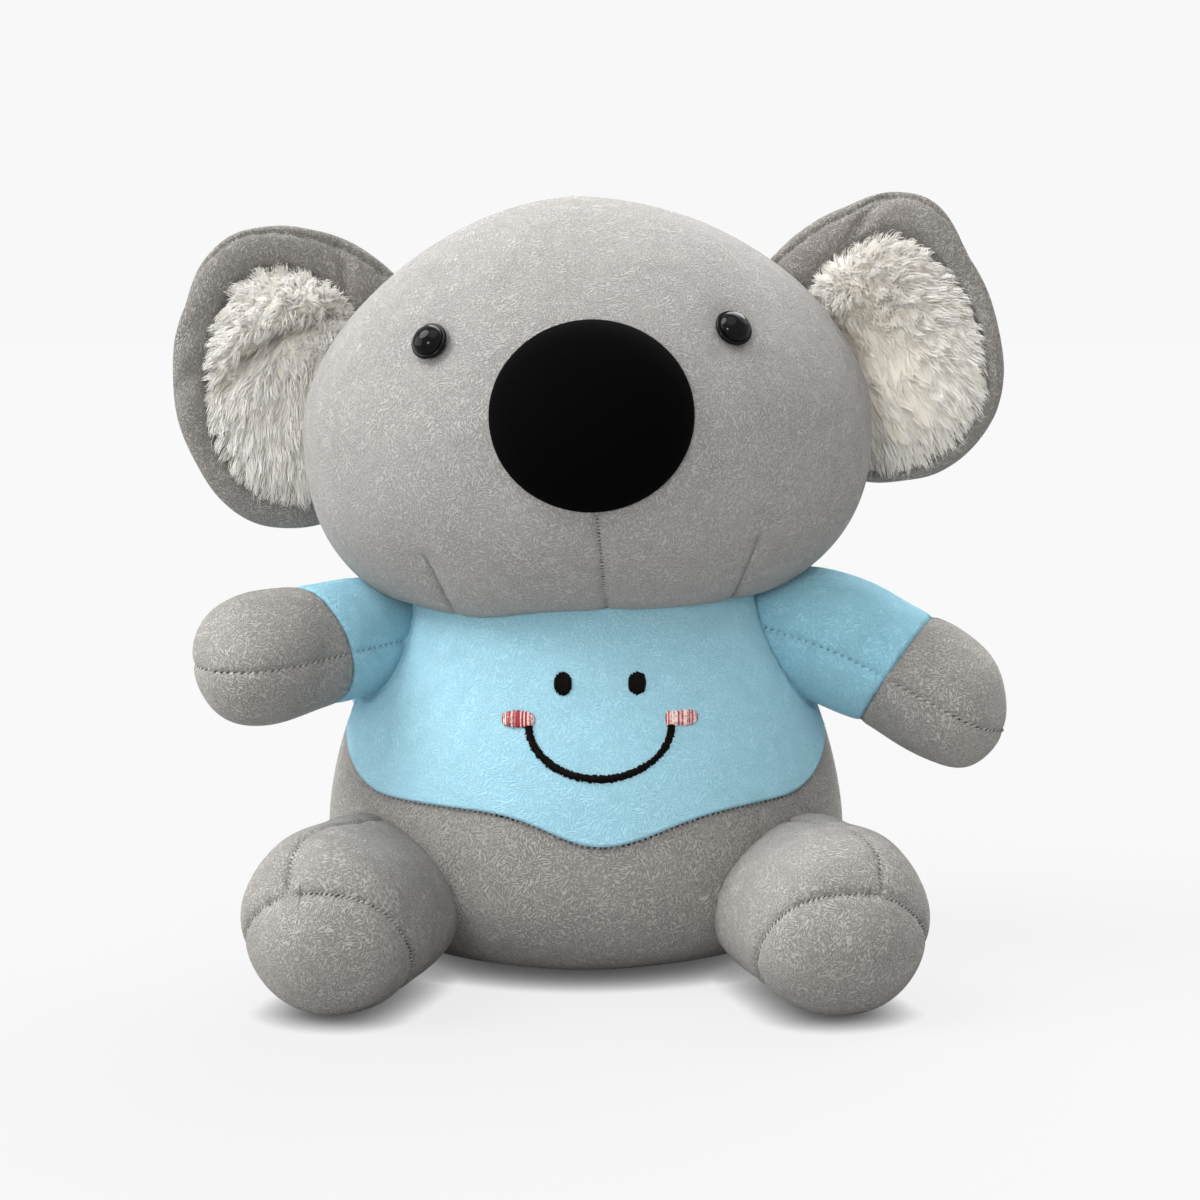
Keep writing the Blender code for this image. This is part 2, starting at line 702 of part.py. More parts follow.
def jowl_room(side):
    """The head's lower part and all that it sweeps over a shoulder as it turns on the neck."""
    lean = math.sin(HEAD_LEAN)
    lower = HEAD_HALF_WIDTH * lean if side == RIGHT else 0
    middle = NECK_HEIGHT + HEAD_RISE - SEAM_GAP
    profile = [(0, middle)]
    for share in (0, 0.4, 0.7, 1):
        fall = HEAD_RISE * share
        drop = max(0, fall - lower)
        width = (1 - (drop / HEAD_JOWL) ** HEAD_JOWL_POWER) ** (1 / HEAD_JOWL_POWER)
        shift = drop * lean if side == LEFT else 0
        profile.append((HEAD_HALF_WIDTH * width + shift + SEAM_GAP, middle - fall))
    profile.append((0, NECK_HEIGHT - SEAM_GAP))
    name = f"jowl_room_{WORDS[side]}"
    room = new_tool(name, turned_mesh(name, profile))
    turn_round(room, Matrix.Translation((0, -HEAD_FORWARD, 0)), 48)
    return as_solid(f"{name}_solid", room)


def build_arm(side, droop, forward, sag, torso_body):
    word = WORDS[side]
    flat = math.cos(droop)
    direction = Vector((side * flat * math.cos(forward), -flat * math.sin(forward), -math.sin(droop)))
    place = shoulder(side)
    frame = limb_frame(place, direction)
    arm = pivot(f"shoulder_{word}_pivot", frame)
    radii = (SLEEVE_RADIUS, PAW_RADIUS, PAW_RADIUS * PAW_TIP_SHARE)
    rings = limb_rings(SHOULDER_BALL, ARM_LENGTH, ARM_ALONG_SHARES, radii)
    cage = soft_cage(f"arm_form_{word}", 8, 6, limb_shape(rings, SHOULDER_BALL, ARM_LENGTH, sag))

    wide = PAW_RADIUS + OVERRUN
    half = SEAM_GAP / 2
    start = -SHOULDER_BALL * ROOT_SEAM_SHARE
    axis = Vector((0, 0, -side))
    plug = faceted_ball(f"shoulder_plug_{word}", place, SHOULDER_BALL + SEAM_GAP * 0.9, 16, False)
    angles = (-ARM_BACK, -ARM_BACK / 2, ARM_FORWARD / 2, ARM_FORWARD)
    clear = [swept(f"torso_by_arm_{word}", torso_body, place, axis, angles, plug)]
    clear += swung(f"jowl_by_arm_{word}", jowl_room(side), place, axis, (-ARM_BACK, ARM_FORWARD))
    for half_word, low, high in (("upper", half, wide), ("lower", -wide, -half)):
        name = f"sleeve_{half_word}_{word}"
        room = block(f"{name}_room", (low, -wide, start), (high, wide, CUFF - half), arm)
        cut(panel(name, cage, "blue_plush", room, arm), *clear)
        name = f"paw_{half_word}_{word}"
        room = block(f"{name}_room", (low, -wide, CUFF + half), (high, wide, ARM_LENGTH + wide), arm)
        panel(name, cage, "grey_plush", room, arm)
    cut(stuffing(f"arm_stuffing_{word}", cage, arm), *clear)


def build_leg(side, torso_body):
    word = WORDS[side]
    direction = Vector((side * math.sin(LEG_SPLAY), -math.cos(LEG_SPLAY), 0))
    place = hip(side)
    leg = pivot(f"hip_{word}_pivot", limb_frame(place, direction))
    radii = (THIGH_RADIUS, FOOT_RADIUS, FOOT_RADIUS * TOE_SHARE)
    rings = limb_rings(HIP_BALL, LEG_LENGTH, LEG_ALONG_SHARES, radii)
    cage = soft_cage(f"leg_form_{word}", 8, 6, limb_shape(rings, HIP_BALL, LEG_LENGTH))

    wide = FOOT_RADIUS + OVERRUN
    half = SEAM_GAP / 2
    start = -HIP_BALL * ROOT_SEAM_SHARE
    far = LEG_LENGTH + wide
    tilt = Matrix.Translation((0, 0, LEG_LENGTH - SOLE_DEPTH)) @ Matrix.Rotation(-SOLE_TILT, 4, "Y")
    sole_room = block(f"sole_room_{word}", (-wide, -wide, half), (wide, wide, wide), leg, tilt)
    past = (-wide * 2, -wide * 2, -half), (wide * 2, wide * 2, wide)
    not_sole = block(f"not_sole_{word}", *past, leg, tilt)
    floor = block(f"floor_{word}", (-far * 2, -far * 2, -far), (far * 2, far, 0))
    axis = Vector((0, 0, side))
    plug = faceted_ball(f"hip_plug_{word}", place, HIP_BALL + SEAM_GAP * 0.9, 16, False)
    clear = swept(f"torso_by_leg_{word}", torso_body, place, axis, (-LEG_SWING, LEG_SWING), plug)
    inner_low, inner_high = (half, wide) if side == LEFT else (-wide, -half)
    rooms = {
        f"leg_inner_{word}": ((-wide, inner_low, start), (wide, inner_high, far)),
        f"leg_outer_{word}": ((-wide, -inner_high, start), (wide, -inner_low, far)),
    }
    for name, (low, high) in rooms.items():
        room = block(f"{name}_room", low, high, leg)
        cut(panel(name, cage, "grey_plush", room, leg), not_sole, floor, clear)
    cut(panel(f"sole_{word}", cage, "grey_plush", sole_room, leg), floor)
    cut(stuffing(f"leg_stuffing_{word}", cage, leg), clear)


def build_koala():
    torso_body = build_torso()
    head, head_body = build_head()
    for side in WORDS:
        build_ear(side, head, head_body)
        build_leg(side, torso_body)
    build_arm(LEFT, LEFT_ARM_DROOP, LEFT_ARM_FORWARD, LEFT_ARM_SAG, torso_body)
    build_arm(RIGHT, RIGHT_ARM_DROOP, RIGHT_ARM_FORWARD, RIGHT_ARM_SAG, torso_body)


for old in list(bpy.data.objects):
    bpy.data.objects.remove(old)
parts = new_collection("plush_koala")
tools = new_collection("cutters")
build_koala()
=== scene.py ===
import bpy, functools, math
import numpy as np
from mathutils import Matrix, Vector


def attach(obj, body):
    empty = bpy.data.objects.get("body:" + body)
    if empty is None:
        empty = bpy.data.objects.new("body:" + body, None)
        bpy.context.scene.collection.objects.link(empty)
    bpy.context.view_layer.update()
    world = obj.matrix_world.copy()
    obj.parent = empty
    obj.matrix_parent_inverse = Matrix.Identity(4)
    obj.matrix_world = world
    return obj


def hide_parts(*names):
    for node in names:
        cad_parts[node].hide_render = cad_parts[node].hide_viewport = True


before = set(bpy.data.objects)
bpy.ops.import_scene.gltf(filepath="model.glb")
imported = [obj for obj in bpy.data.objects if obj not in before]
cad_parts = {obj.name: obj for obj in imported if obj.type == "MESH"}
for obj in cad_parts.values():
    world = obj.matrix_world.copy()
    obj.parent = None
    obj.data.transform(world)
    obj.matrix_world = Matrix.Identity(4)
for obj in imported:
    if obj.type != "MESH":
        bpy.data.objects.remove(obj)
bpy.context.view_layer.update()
scene = bpy.context.scene
sides = {1: "left", -1: "right"}  # the toy's own left is +X, on the viewer's right
mm = 0.001


# sRGB hex code to linear RGBA
def linear(code):
    parts = [int(code[n:n + 2], 16) / 255 for n in (1, 3, 5)]
    return (*(p / 12.92 if p <= 0.04045 else ((p + 0.055) / 1.055) ** 2.4 for p in parts), 1.0)


# one node with its settings; a node as a value is linked by its first output, a socket as it is, anything else is set
def addNode(tree, kind, inputs=None, **settings):
    node = tree.nodes.new("ShaderNode" + kind)
    for key, value in settings.items():
        setattr(node, key, value)
    for socket, value in (inputs or {}).items():
        value = value.outputs[0] if isinstance(value, bpy.types.Node) else value
        if isinstance(value, bpy.types.NodeSocket):
            tree.links.new(value, node.inputs[socket])
        else:
            node.inputs[socket].default_value = value
    return node


# empties the nodes of a material or the world, and gives addNode for them
def freshNodes(owner):
    owner.use_nodes = True
    owner.node_tree.nodes.clear()
    return functools.partial(addNode, owner.node_tree)


def newMaterial(name):
    material = bpy.data.materials.new(name)
    return material, freshNodes(material)


def newObject(name, data):
    thing = bpy.data.objects.new(name, data)
    scene.collection.objects.link(thing)
    return thing


# a direction from its turn to the right of the front and its height, in degrees
def direction(turn, up):
    turn, up = math.radians(turn), math.radians(up)
    return Vector((math.sin(turn) * math.cos(up), -math.cos(turn) * math.cos(up), math.sin(up)))


# a frame at one point that looks at another
def aimed(place, target):
    return Matrix.Translation(place) @ (target - place).to_track_quat("-Z", "Y").to_matrix().to_4x4()


# puts a vertex list, faces and per-vertex numbers into a smooth mesh piece, faces turned outwards:
# the signed volume of a fan of triangles tells which way they face
def meshPiece(name, points, faces, material, fields=None):
    corners = np.concatenate([f[:, [0, k, k + 1]] for f in faces for k in range(1, f.shape[1] - 1)])
    a, b, c = (points[corners[:, k]] for k in range(3))
    if np.einsum("ij,ij->", a, np.cross(b, c)) < 0:
        faces = [f[:, ::-1] for f in faces]
    mesh = bpy.data.meshes.new(name)
    mesh.from_pydata(points.tolist(), [], [face for f in faces for face in f.tolist()])
    for key, values in (fields or {}).items():
        mesh.attributes.new(key, "FLOAT", "POINT").data.foreach_set("value", np.ravel(values).astype(np.float32))
    mesh.polygons.foreach_set("use_smooth", np.ones(len(mesh.polygons), bool))
    mesh.materials.append(material)
    mesh.update()
    return newObject(name, mesh)


# rows of points round a form; the first and the last row are each drawn together to one point
def closedSkin(name, grid, material, fields=None):
    count, around = grid.shape[:2]
    flat = lambda a: np.concatenate([a[:1, 0], a[1:-1].reshape(-1, *a.shape[2:]), a[-1:, 0]])
    here = np.arange(around)
    after = (here + 1) % around
    start = 1 + np.arange(count - 3)[:, None] * around
    quads = np.stack([start + here, start + after, start + around + after, start + around + here], -1)
    last = 1 + (count - 3) * around
    first = np.stack([np.zeros(around, int), after + 1, here + 1], -1)
    final = np.stack([np.full(around, last + around), last + here, last + after], -1)
    fields = {key: flat(values) for key, values in (fields or {}).items()}
    return meshPiece(name, flat(grid), [quads.reshape(-1, 4), first, final], material, fields)


def ringAngles(count):
    return np.linspace(0, 2 * math.pi, count, endpoint=False)


# directions over a sphere, in rows from the top to the bottom
def sphereWays(rows, columns):
    polar, circle = np.linspace(0, math.pi, rows)[:, None], ringAngles(columns)
    return np.stack([np.sin(polar) * np.cos(circle), np.sin(polar) * np.sin(circle), np.cos(polar) + 0 * circle], -1)


# every second point of a ring, and the first again
def closedPath(ring):
    return np.vstack([ring[::2], ring[:1]])


# a bell: e to the minus square
def bell(x):
    return np.exp(-(x**2))


# unit normals of a grid that closes round its columns: across times down, turned away from the middle
def gridNormals(grid):
    across = np.roll(grid, -1, 1) - np.roll(grid, 1, 1)
    normals = np.cross(across, np.gradient(grid, axis=0))
    normals /= np.maximum(np.linalg.norm(normals, axis=-1, keepdims=True), 1e-12)
    away = np.einsum("ijk,ijk->", normals, grid - grid.mean((0, 1)))
    return normals * np.sign(away)


# soft unevenness of filling: a sum of sine waves in random directions, about one size long
def lumps(points, size, seed):
    rng = np.random.default_rng(seed)
    waves, total = 7, np.zeros(points.shape[:-1])
    for _ in range(waves):
        way = rng.normal(size=3)
        way /= np.linalg.norm(way)
        total += np.sin(points @ way * 2 * math.pi / (size * rng.uniform(0.7, 1.6)) + rng.uniform(0, 6.3))
    return total / waves


# a seam's usual form: how much its valley puckers, in what beat, and the half widths of the valley and the pillow
seamForm = {"pucker": 0.25, "puckerPitch": 0.0062, "valleyHalf": 0.0011, "pillowHalf": 0.006}
seamStep = 0.5  # the run along a skin's seams starts this much later for each seam
seamApart = 0.0025  # this near a second seam, a seam's holes and puckers fade


# for each point the nearest of some seam lines: its distance, signed by the side it lies on, its bare distance,
# how far along the seam it is, and how clear it is of a second seam
def followSeams(points, normals, paths):
    near, second = np.full(points.shape[:-1], 1.0), np.full(points.shape[:-1], 1.0)
    side, run = near.copy(), np.zeros(points.shape[:-1])
    for number, path in enumerate(paths):
        begin, own = number * seamStep, np.full(points.shape[:-1], 1.0)
        for start, step in zip(path[:-1], np.diff(path, axis=0)):
            length = np.linalg.norm(step)
            if length < 1e-9:
                continue
            rel = points - start
            share = np.clip(rel @ step / length**2, 0, 1)
            off = rel - share[..., None] * step
            gap = np.linalg.norm(off, axis=-1)
            closer, first = gap < own, gap < np.minimum(own, near)
            turn = np.sign(np.einsum("...k,...k->...", np.cross(step, normals), off))
            side = np.where(first, gap * turn, side)
            run = np.where(first, begin + share * length, run)
            own = np.where(closer, gap, own)
            begin += length
        second = np.minimum(second, np.maximum(own, near))
        near = np.minimum(near, own)
    return side, near, run, np.clip((second - near) / seamApart - 0.2, 0, 1)


# presses seams into a skin: a narrow valley with puckers along it, a wide pillow beside it, and the filling's lumps;
# only the body rows move, the caps inside stay
def pressSeams(grid, paths, look, body=slice(None)):
    look = {**seamForm, **look}
    normals = np.zeros_like(grid)
    normals[body] = gridNormals(grid[body])
    side, near, run, clear = followSeams(grid, normals + 1e-9, paths)
    pucker = 1 + look["pucker"] * np.sin(run * 2 * math.pi / look["puckerPitch"] + lumps(grid, 0.02, 5) * 4)
    sink = look["valley"] * bell(side / look["valleyHalf"]) * pucker
    sink += look["pillow"] * np.exp(-np.abs(side) / look["pillowHalf"])
    swell = lumps(grid, look["lumpSize"], look["lumpSeed"]) * look["lump"]
    fields = {"seamSide": side, "seamNear": near, "seamRun": run, "seamClear": clear}
    return grid + normals * (swell - sink)[..., None], fields


# moves points by a frame
def placed(points, matrix):
    m = np.array(matrix)
    return points @ m[:3, :3].T + m[:3, 3]


# smooth larger of two numbers: their mean and half the root of their squared difference plus a rounding
def softMax(a, b, rounding):
    return (a + b + np.sqrt((a - b) ** 2 + rounding**2)) / 2


def dress(piece, body, slotName, *nodes, fill=None):
    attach(piece, body)
    if nodes:
        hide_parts(*nodes)


view = {"away": 0.930, "elevation": 8.0, "lens": 85, "aim": (0.0045, 0, 0.1167)}
scene.camera = camera = newObject("camera", bpy.data.cameras.new("camera"))
camera.data.lens, camera.data.sensor_width = view["lens"], 36
aim = Vector(view["aim"])
camera.matrix_world = aimed(aim + view["away"] * direction(0, view["elevation"]), aim)

light = {
    "background": "#f8f8f8",
    "fill": 0.42,  # the world's strength on the object
    "paper": (0.35, 0.41),  # the floor's grey for light that bounces, and for the camera
    "floorGlow": 0.85,  # share of the floor's look that glows for the camera, the rest is lit
    "contact": 0.011,  # how far the soft dark under the toy reaches
    "contactLeast": 0.07,  # the glow that is left where the toy touches the floor
    # each softbox: strength, width, turn to the right and height, in degrees
    "lamps": {"key": (3.0, 38, -80, 50), "upper": (0.80, 50, 5, 66), "back": (3.3, 50, 160, 45),
              "left": (1.25, 50, -88, 10), "right": (0.75, 50, 125, 45), "front": (0.74, 12, -24, 14)},
}
scene.view_settings.view_transform = "Standard"
scene.world = bpy.data.worlds.new("paleRoom")
add = freshNodes(scene.world)
rays = add("LightPath").outputs
seen = rays["Is Camera Ray"]
for ray in ("Is Transmission Ray", "Is Glossy Ray"):
    seen = add("Math", {0: seen, 1: rays[ray]}, operation="MAXIMUM")
room = add("Background", {"Color": linear("#ffffff"), "Strength": light["fill"]})
wall = add("Background", {"Color": linear(light["background"]), "Strength": 1.0})
add("OutputWorld", {"Surface": add("MixShader", {0: seen, 1: room, 2: wall})})

for name, (strength, wide, turn, up) in light["lamps"].items():
    lamp = newObject(name + "Light", bpy.data.lights.new(name + "Light", "SUN"))
    lamp.data.energy, lamp.data.angle = strength, math.radians(wide)
    lamp.matrix_world = aimed(direction(turn, up), Vector())

# pale studio paper: a lit matt sheet that also glows for the camera, so it stays pale and keeps a soft shadow
paper, add = newMaterial("matt studio paper")
seen = add("LightPath").outputs["Is Camera Ray"]
grey = add("MapRange", {"Value": seen, "To Min": light["paper"][0], "To Max": light["paper"][1]})
near = add("AmbientOcclusion", {"Distance": light["contact"]}, samples=8).outputs["AO"]
near = add("Math", {0: near, 1: 1.1}, operation="MULTIPLY", use_clamp=True)
near = add("Math", {0: near, 1: 1.05}, operation="POWER")
near = add("MapRange", {"Value": near, "To Min": light["contactLeast"], "To Max": 1.0})
share = add("Math", {0: seen, 1: light["floorGlow"]}, operation="MULTIPLY")
lit = add("BsdfDiffuse", {"Color": grey})
glow = add("Emission", {"Color": linear(light["background"]), "Strength": near})
add("OutputMaterial", {"Surface": add("MixShader", {0: share, 1: lit, 2: glow})})
floorMesh = bpy.data.meshes.new("floor")
floorMesh.from_pydata([(-4, -4, 0), (4, -4, 0), (4, 4, 0), (-4, 4, 0)], [], [(0, 1, 2, 3)])
floorMesh.materials.append(paper)
newObject("floor", floorMesh)
print("camera, floor and light are set")


# Velboa: knitted polyester with a brushed 1 mm pile. It gives a matt cloth whose pile parts in short winding ridges
# like a fingerprint's, about 0.8 mm apart, with small puckers, dark needle holes and pale thread along the seams.
def velboa(name, look):
    material, add = newMaterial(name)
    place = add("TexCoord").outputs["Object"]
    # the ridges: noise stretched three ways, each way in its own patches of a bent space, so that they wind and fork
    bend = add("TexNoise", {"Vector": place, "Scale": 1 / look["ridgeTurn"], "Detail": 0.0}).outputs["Color"]
    bent = add("VectorMath", {0: bend, 1: (look["ridgeBend"],) * 3, 2: place}, operation="MULTIPLY_ADD")
    pick = add("TexNoise", {"Vector": place, "Scale": 1 / look["ridgePatch"], "Detail": 0.0})
    ridge = None
    for turn, start in ((0, 0.0), (60, 0.40), (120, 0.54)):
        turned = add("VectorRotate", {"Vector": bent, "Angle": math.radians(turn)}, rotation_type="Y_AXIS")
        drawn = add("VectorMath", {0: turned, 1: (1 / look["ridgeLong"], 1, 1)}, operation="MULTIPLY")
        broken = add("TexNoise", {"Vector": drawn, "Scale": 1 / look["ridgeCell"], "Detail": 0.0})
        share = add("MapRange", {"Value": pick, "From Min": start, "From Max": start + 0.06})
        ridge = add("Mix", {0: share, 2: ridge or broken, 3: broken})
    ridge = add("MapRange", {"Value": ridge, "From Min": 0.38, "From Max": 0.60, "To Min": -0.5, "To Max": 0.5})
    # where the pile is brushed flatter the ridges fade a little
    brushed = add("TexNoise", {"Vector": place, "Scale": 1 / look["brushSize"], "Detail": 2.0})
    brushed = add("MapRange", {"Value": brushed, "From Min": 0.35, "From Max": 0.65, "To Min": look["brushLeast"]})
    ridge = add("Math", {0: ridge, 1: brushed}, operation="MULTIPLY")
    cloud = add("TexNoise", {"Vector": place, "Scale": 1 / look["cloudSize"], "Detail": 2.0})
    tone = add("Math", {0: ridge, 1: look["ridgeTone"], 2: 0.5 - look["cloudTone"] / 2}, operation="MULTIPLY_ADD")
    tone = add("Math", {0: cloud, 1: look["cloudTone"], 2: tone}, operation="MULTIPLY_ADD", use_clamp=True)
    cloth = add("Mix", {0: tone, 6: linear(look["dark"]), 7: linear(look["pale"])}, data_type="RGBA").outputs[2]
    height = add("Math", {0: ridge, 1: look["ridgeDepth"]}, operation="MULTIPLY")
    # a seam: dark needle holes in a slanted, uneven beat along it, pale thread between them and a groove under both
    side, near, run, plain, clear = (add("Attribute", attribute_name="seam" + key).outputs["Fac"]
                                     for key in ("Side", "Near", "Run", "Plain", "Clear"))
    close = add("Math", {0: near, 1: look["seamReach"]}, operation="LESS_THAN")
    close = add("Math", {0: close, 1: clear}, operation="MULTIPLY")
    off = add("Math", {0: side}, operation="ABSOLUTE")
    half = look["seamHalf"]
    line = add("MapRange", {"Value": off, "From Min": half * 0.4, "From Max": half, "To Min": 1.0, "To Max": 0.0})
    line = add("Math", {0: line, 1: close}, operation="MULTIPLY")
    jog = add("Math", {0: broken, 1: look["stitchJog"]}, operation="MULTIPLY")
    slanted = add("Math", {0: side, 1: look["slant"], 2: run}, operation="MULTIPLY_ADD")
    beat = add("Math", {0: slanted, 1: 2 * math.pi / look["stitchPitch"], 2: jog}, operation="MULTIPLY_ADD")
    beat = add("Math", {0: beat}, operation="SINE")
    # where a seam is plain it shows an even faint line in the holes' place
    even = add("Math", {0: plain, 1: look["plainShow"]}, operation="MULTIPLY")
    bare = add("Math", {0: 1.0, 1: plain}, operation="SUBTRACT")
    hole = add("MapRange", {"Value": beat, "From Min": 0.0, "From Max": 0.7})
    hole = add("Math", {0: hole, 1: bare, 2: even}, operation="MULTIPLY_ADD")
    ragged = add("MapRange", {"Value": cloud, "From Min": 0.40, "From Max": 0.56, "To Min": 0.55})
    for part in (ragged, line, look["holeShow"]):
        hole = add("Math", {0: hole, 1: part}, operation="MULTIPLY")
    thread = add("MapRange", {"Value": beat, "From Min": -0.3, "From Max": -0.8})
    for part in (line, bare, look["threadShow"]):
        thread = add("Math", {0: thread, 1: part}, operation="MULTIPLY")
    for part, colour in ((hole, "hole"), (thread, "thread")):
        cloth = add("Mix", {0: part, 6: cloth, 7: linear(look[colour])}, data_type="RGBA").outputs[2]
    # puckers: short folds square to the seam that die out beside it
    sway = add("Math", {0: broken, 1: look["puckerSway"]}, operation="MULTIPLY")
    pucker = add("Math", {0: run, 1: 2 * math.pi / look["puckerPitch"], 2: sway}, operation="MULTIPLY_ADD")
    pucker = add("Math", {0: pucker}, operation="SINE")
    fade = add("MapRange", {"Value": near, "From Min": 0.4 * mm, "From Max": look["puckerLong"],
                            "To Min": look["puckerDepth"], "To Max": 0.0})
    fade = add("Math", {0: fade, 1: clear}, operation="MULTIPLY")
    height = add("Math", {0: pucker, 1: fade, 2: height}, operation="MULTIPLY_ADD")
    groove = add("MapRange", {"Value": off, "From Max": half * 1.8, "To Min": look["grooveDepth"], "To Max": 0.0})
    groove = add("Math", {0: groove, 1: close}, operation="MULTIPLY")
    height = add("Math", {0: height, 1: groove}, operation="SUBTRACT")
    bump = add("Bump", {"Height": height, "Strength": 1.0, "Distance": 1.0})
    shader = add("BsdfPrincipled", {
        "Base Color": cloth, "Roughness": 0.92, "Specular IOR Level": 0.12, "Sheen Weight": look["sheen"],
        "Sheen Roughness": 0.45, "Sheen Tint": linear(look["sheenTint"]), "Normal": bump})
    add("OutputMaterial", {"Surface": shader})
    return material


greyLook = {"pale": "#b8b5b1", "dark": "#7d7a76", "hole": "#1c1a18", "thread": "#d2cfca", "sheenTint": "#f2f0ee",
            "sheen": 0.15, "ridgeTurn": 6 * mm, "ridgeBend": 2.6 * mm, "ridgeLong": 4.5, "ridgeCell": 0.29 * mm,
            "ridgePatch": 5 * mm, "ridgeTone": 0.72, "ridgeDepth": 0.30 * mm, "brushSize": 14 * mm, "brushLeast": 0.80,
            "cloudSize": 24 * mm, "cloudTone": 0.2, "stitchPitch": 1.8 * mm, "stitchJog": 5.0, "slant": 0.25,
            "seamHalf": 0.65 * mm, "seamReach": 3 * mm, "holeShow": 1.0, "plainShow": 0.32, "threadShow": 0.35,
            "puckerPitch": 2.3 * mm, "puckerSway": 3.0, "puckerLong": 5 * mm, "puckerDepth": 0.10 * mm,
            "grooveDepth": 0.35 * mm}
shirtLook = {**greyLook, "pale": "#b3ddea", "dark": "#8ac1d6", "hole": "#27475a", "thread": "#c5e6f2",
             "sheenTint": "#eef8fb", "ridgeTone": 0.5, "ridgeDepth": 0.16 * mm, "holeShow": 0.8, "threadShow": 0.2,
             "puckerDepth": 0.08 * mm}
greyCloth = velboa("grey velboa, body", greyLook)
litHeadCloth = velboa("grey velboa for the head, painted paler", {**greyLook, "pale": "#b8b6b3", "dark": "#858280", "ridgeTone": 0.6,
                                         "ridgeDepth": 0.22 * mm, "stitchPitch": 1.2 * mm})  # paler copy: painted light for the brighter light on the head; its ridges are also shallower and fainter
shadedEarCloth = velboa("grey velboa for the ears, painted darker", {**greyLook, "pale": "#a6a29e", "dark": "#716e6a", "holeShow": 0.25,
                                        "threadShow": 0.1})  # darker copy: painted shade for the shade on the ears' fronts under the high light
pawCloth = velboa("grey velboa, paws", {**greyLook, "stitchPitch": 2.5 * mm, "slant": 1.2, "threadShow": 0.7,
                                        "seamHalf": 0.6 * mm})
legCloth = velboa("grey velboa, legs", {**greyLook, "stitchPitch": 1.7 * mm, "slant": 0.8, "threadShow": 0.8})
shirtCloth = velboa("blue velboa, top", shirtLook)
# painted shade: the sleeves are a darker, more saturated copy of the blue cloth, for the shade they lie in near the
# armholes
shadedSleeveCloth = velboa("blue velboa for the sleeves, painted darker", {**shirtLook, "pale": "#a8d8e7", "dark": "#7fbbd1", "holeShow": 0.6,
                                              "ridgeDepth": 0.22 * mm, "stitchPitch": 2.5 * mm})


# Flocked velvet: dense black 0.5 mm pile, so nearly no light comes back except a faint edge.
def velvet(name, look):
    material, add = newMaterial(name)
    place = add("TexCoord").outputs["Object"]
    grain = add("TexNoise", {"Vector": place, "Scale": 1 / look["pile"], "Detail": 3.0})
    colour = add("Mix", {0: grain, 6: linear(look["dark"]), 7: linear(look["pale"])}, data_type="RGBA").outputs[2]
    bump = add("Bump", {"Height": grain, "Strength": 0.6, "Distance": 0.2 * mm})
    shader = add("BsdfPrincipled", {
        "Base Color": colour, "Roughness": 0.9, "Specular IOR Level": 0.04, "Sheen Weight": 0.004,
        "Sheen Roughness": 0.4, "Sheen Tint": linear("#8a8a8a"), "Normal": bump})
    add("OutputMaterial", {"Surface": shader})
    return material


blackVelvet = velvet("black flocked velvet", {"dark": "#000000", "pale": "#030303", "pile": mm / 1.8})  # its real size


# Long-pile acrylic: soft off-white fibres, browner at the roots; their tips, a little see-through, are drawn opaque
# here.
def longPile(name, look):
    material, add = newMaterial(name)
    place = add("TexCoord").outputs["Object"]
    along, tone = (add("Attribute", attribute_name=key).outputs["Fac"] for key in ("along", "tone"))
    cloud = add("TexNoise", {"Vector": place, "Scale": 1 / look["clump"], "Detail": 2.0})
    depth = 0.25
    for part, weight in ((along, 0.55), (tone, 0.25), (cloud, 0.2)):
        depth = add("Math", {0: part, 1: weight, 2: depth}, operation="MULTIPLY_ADD")
    colour = add("Mix", {0: depth, 6: linear(look["root"]), 7: linear(look["tip"])}, data_type="RGBA").outputs[2]
    shader = add("BsdfPrincipled", {
        "Base Color": colour, "Roughness": 0.6, "Specular IOR Level": 0.25, "Sheen Weight": 0.3,
        "Sheen Roughness": 0.4, "Sheen Tint": linear("#fffaf0")})
    add("OutputMaterial", {"Surface": shader})
    return material


creamPile = longPile("cream acrylic pile", {"root": "#eadfca", "tip": "#fffdf8", "clump": mm * 25 / 3})


# Rayon embroidery thread: twisted 0.35 mm strands laid side by side, with a soft gloss along each one; pale strands
# mixed into the colour are painted highlights of that gloss.
def embroidery(name, look):
    material, add = newMaterial(name)
    strand = add("Attribute", attribute_name="strand").outputs["Fac"]
    place = add("TexCoord").outputs["Object"]
    wobble = add("TexNoise", {"Vector": place, "Scale": 1500.0, "Detail": 2.0})  # 0.7 mm, two strands wide
    wave = add("Math", {0: strand, 1: 2 * math.pi}, operation="MULTIPLY")
    wave = add("Math", {0: wave}, operation="COSINE")
    wave = add("Math", {0: wave, 1: 0.5, 2: 0.5}, operation="MULTIPLY_ADD")
    # painted highlight: strands picked at random and broken up by noise are mixed towards the pale colour
    each = add("TexWhiteNoise", {"W": add("Math", {0: strand}, operation="FLOOR")}, noise_dimensions="1D")
    glint = add("Math", {0: each, 1: wobble}, operation="MULTIPLY")
    glint = add("MapRange", {"Value": glint, "From Min": look["glintFrom"], "From Max": look["glintFrom"] + 0.25})
    colour = add("Mix", {0: glint, 6: linear(look["dark"]), 7: linear(look["pale"])}, data_type="RGBA").outputs[2]
    bump = add("Bump", {"Height": wave, "Strength": 0.8, "Distance": 0.15 * mm})
    shader = add("BsdfPrincipled", {
        "Base Color": colour, "Roughness": 0.5, "Specular IOR Level": look["gloss"], "Normal": bump})
    add("OutputMaterial", {"Surface": shader})
    return material


darkThread = embroidery("dark brown rayon thread", {
    "dark": "#080504", "pale": "#24100a", "glintFrom": 0.38, "gloss": 0.05})
coralThread = embroidery("coral rayon thread", {
    "dark": "#a2323d", "pale": "#f8ded7", "glintFrom": 0.15, "gloss": 0.3})


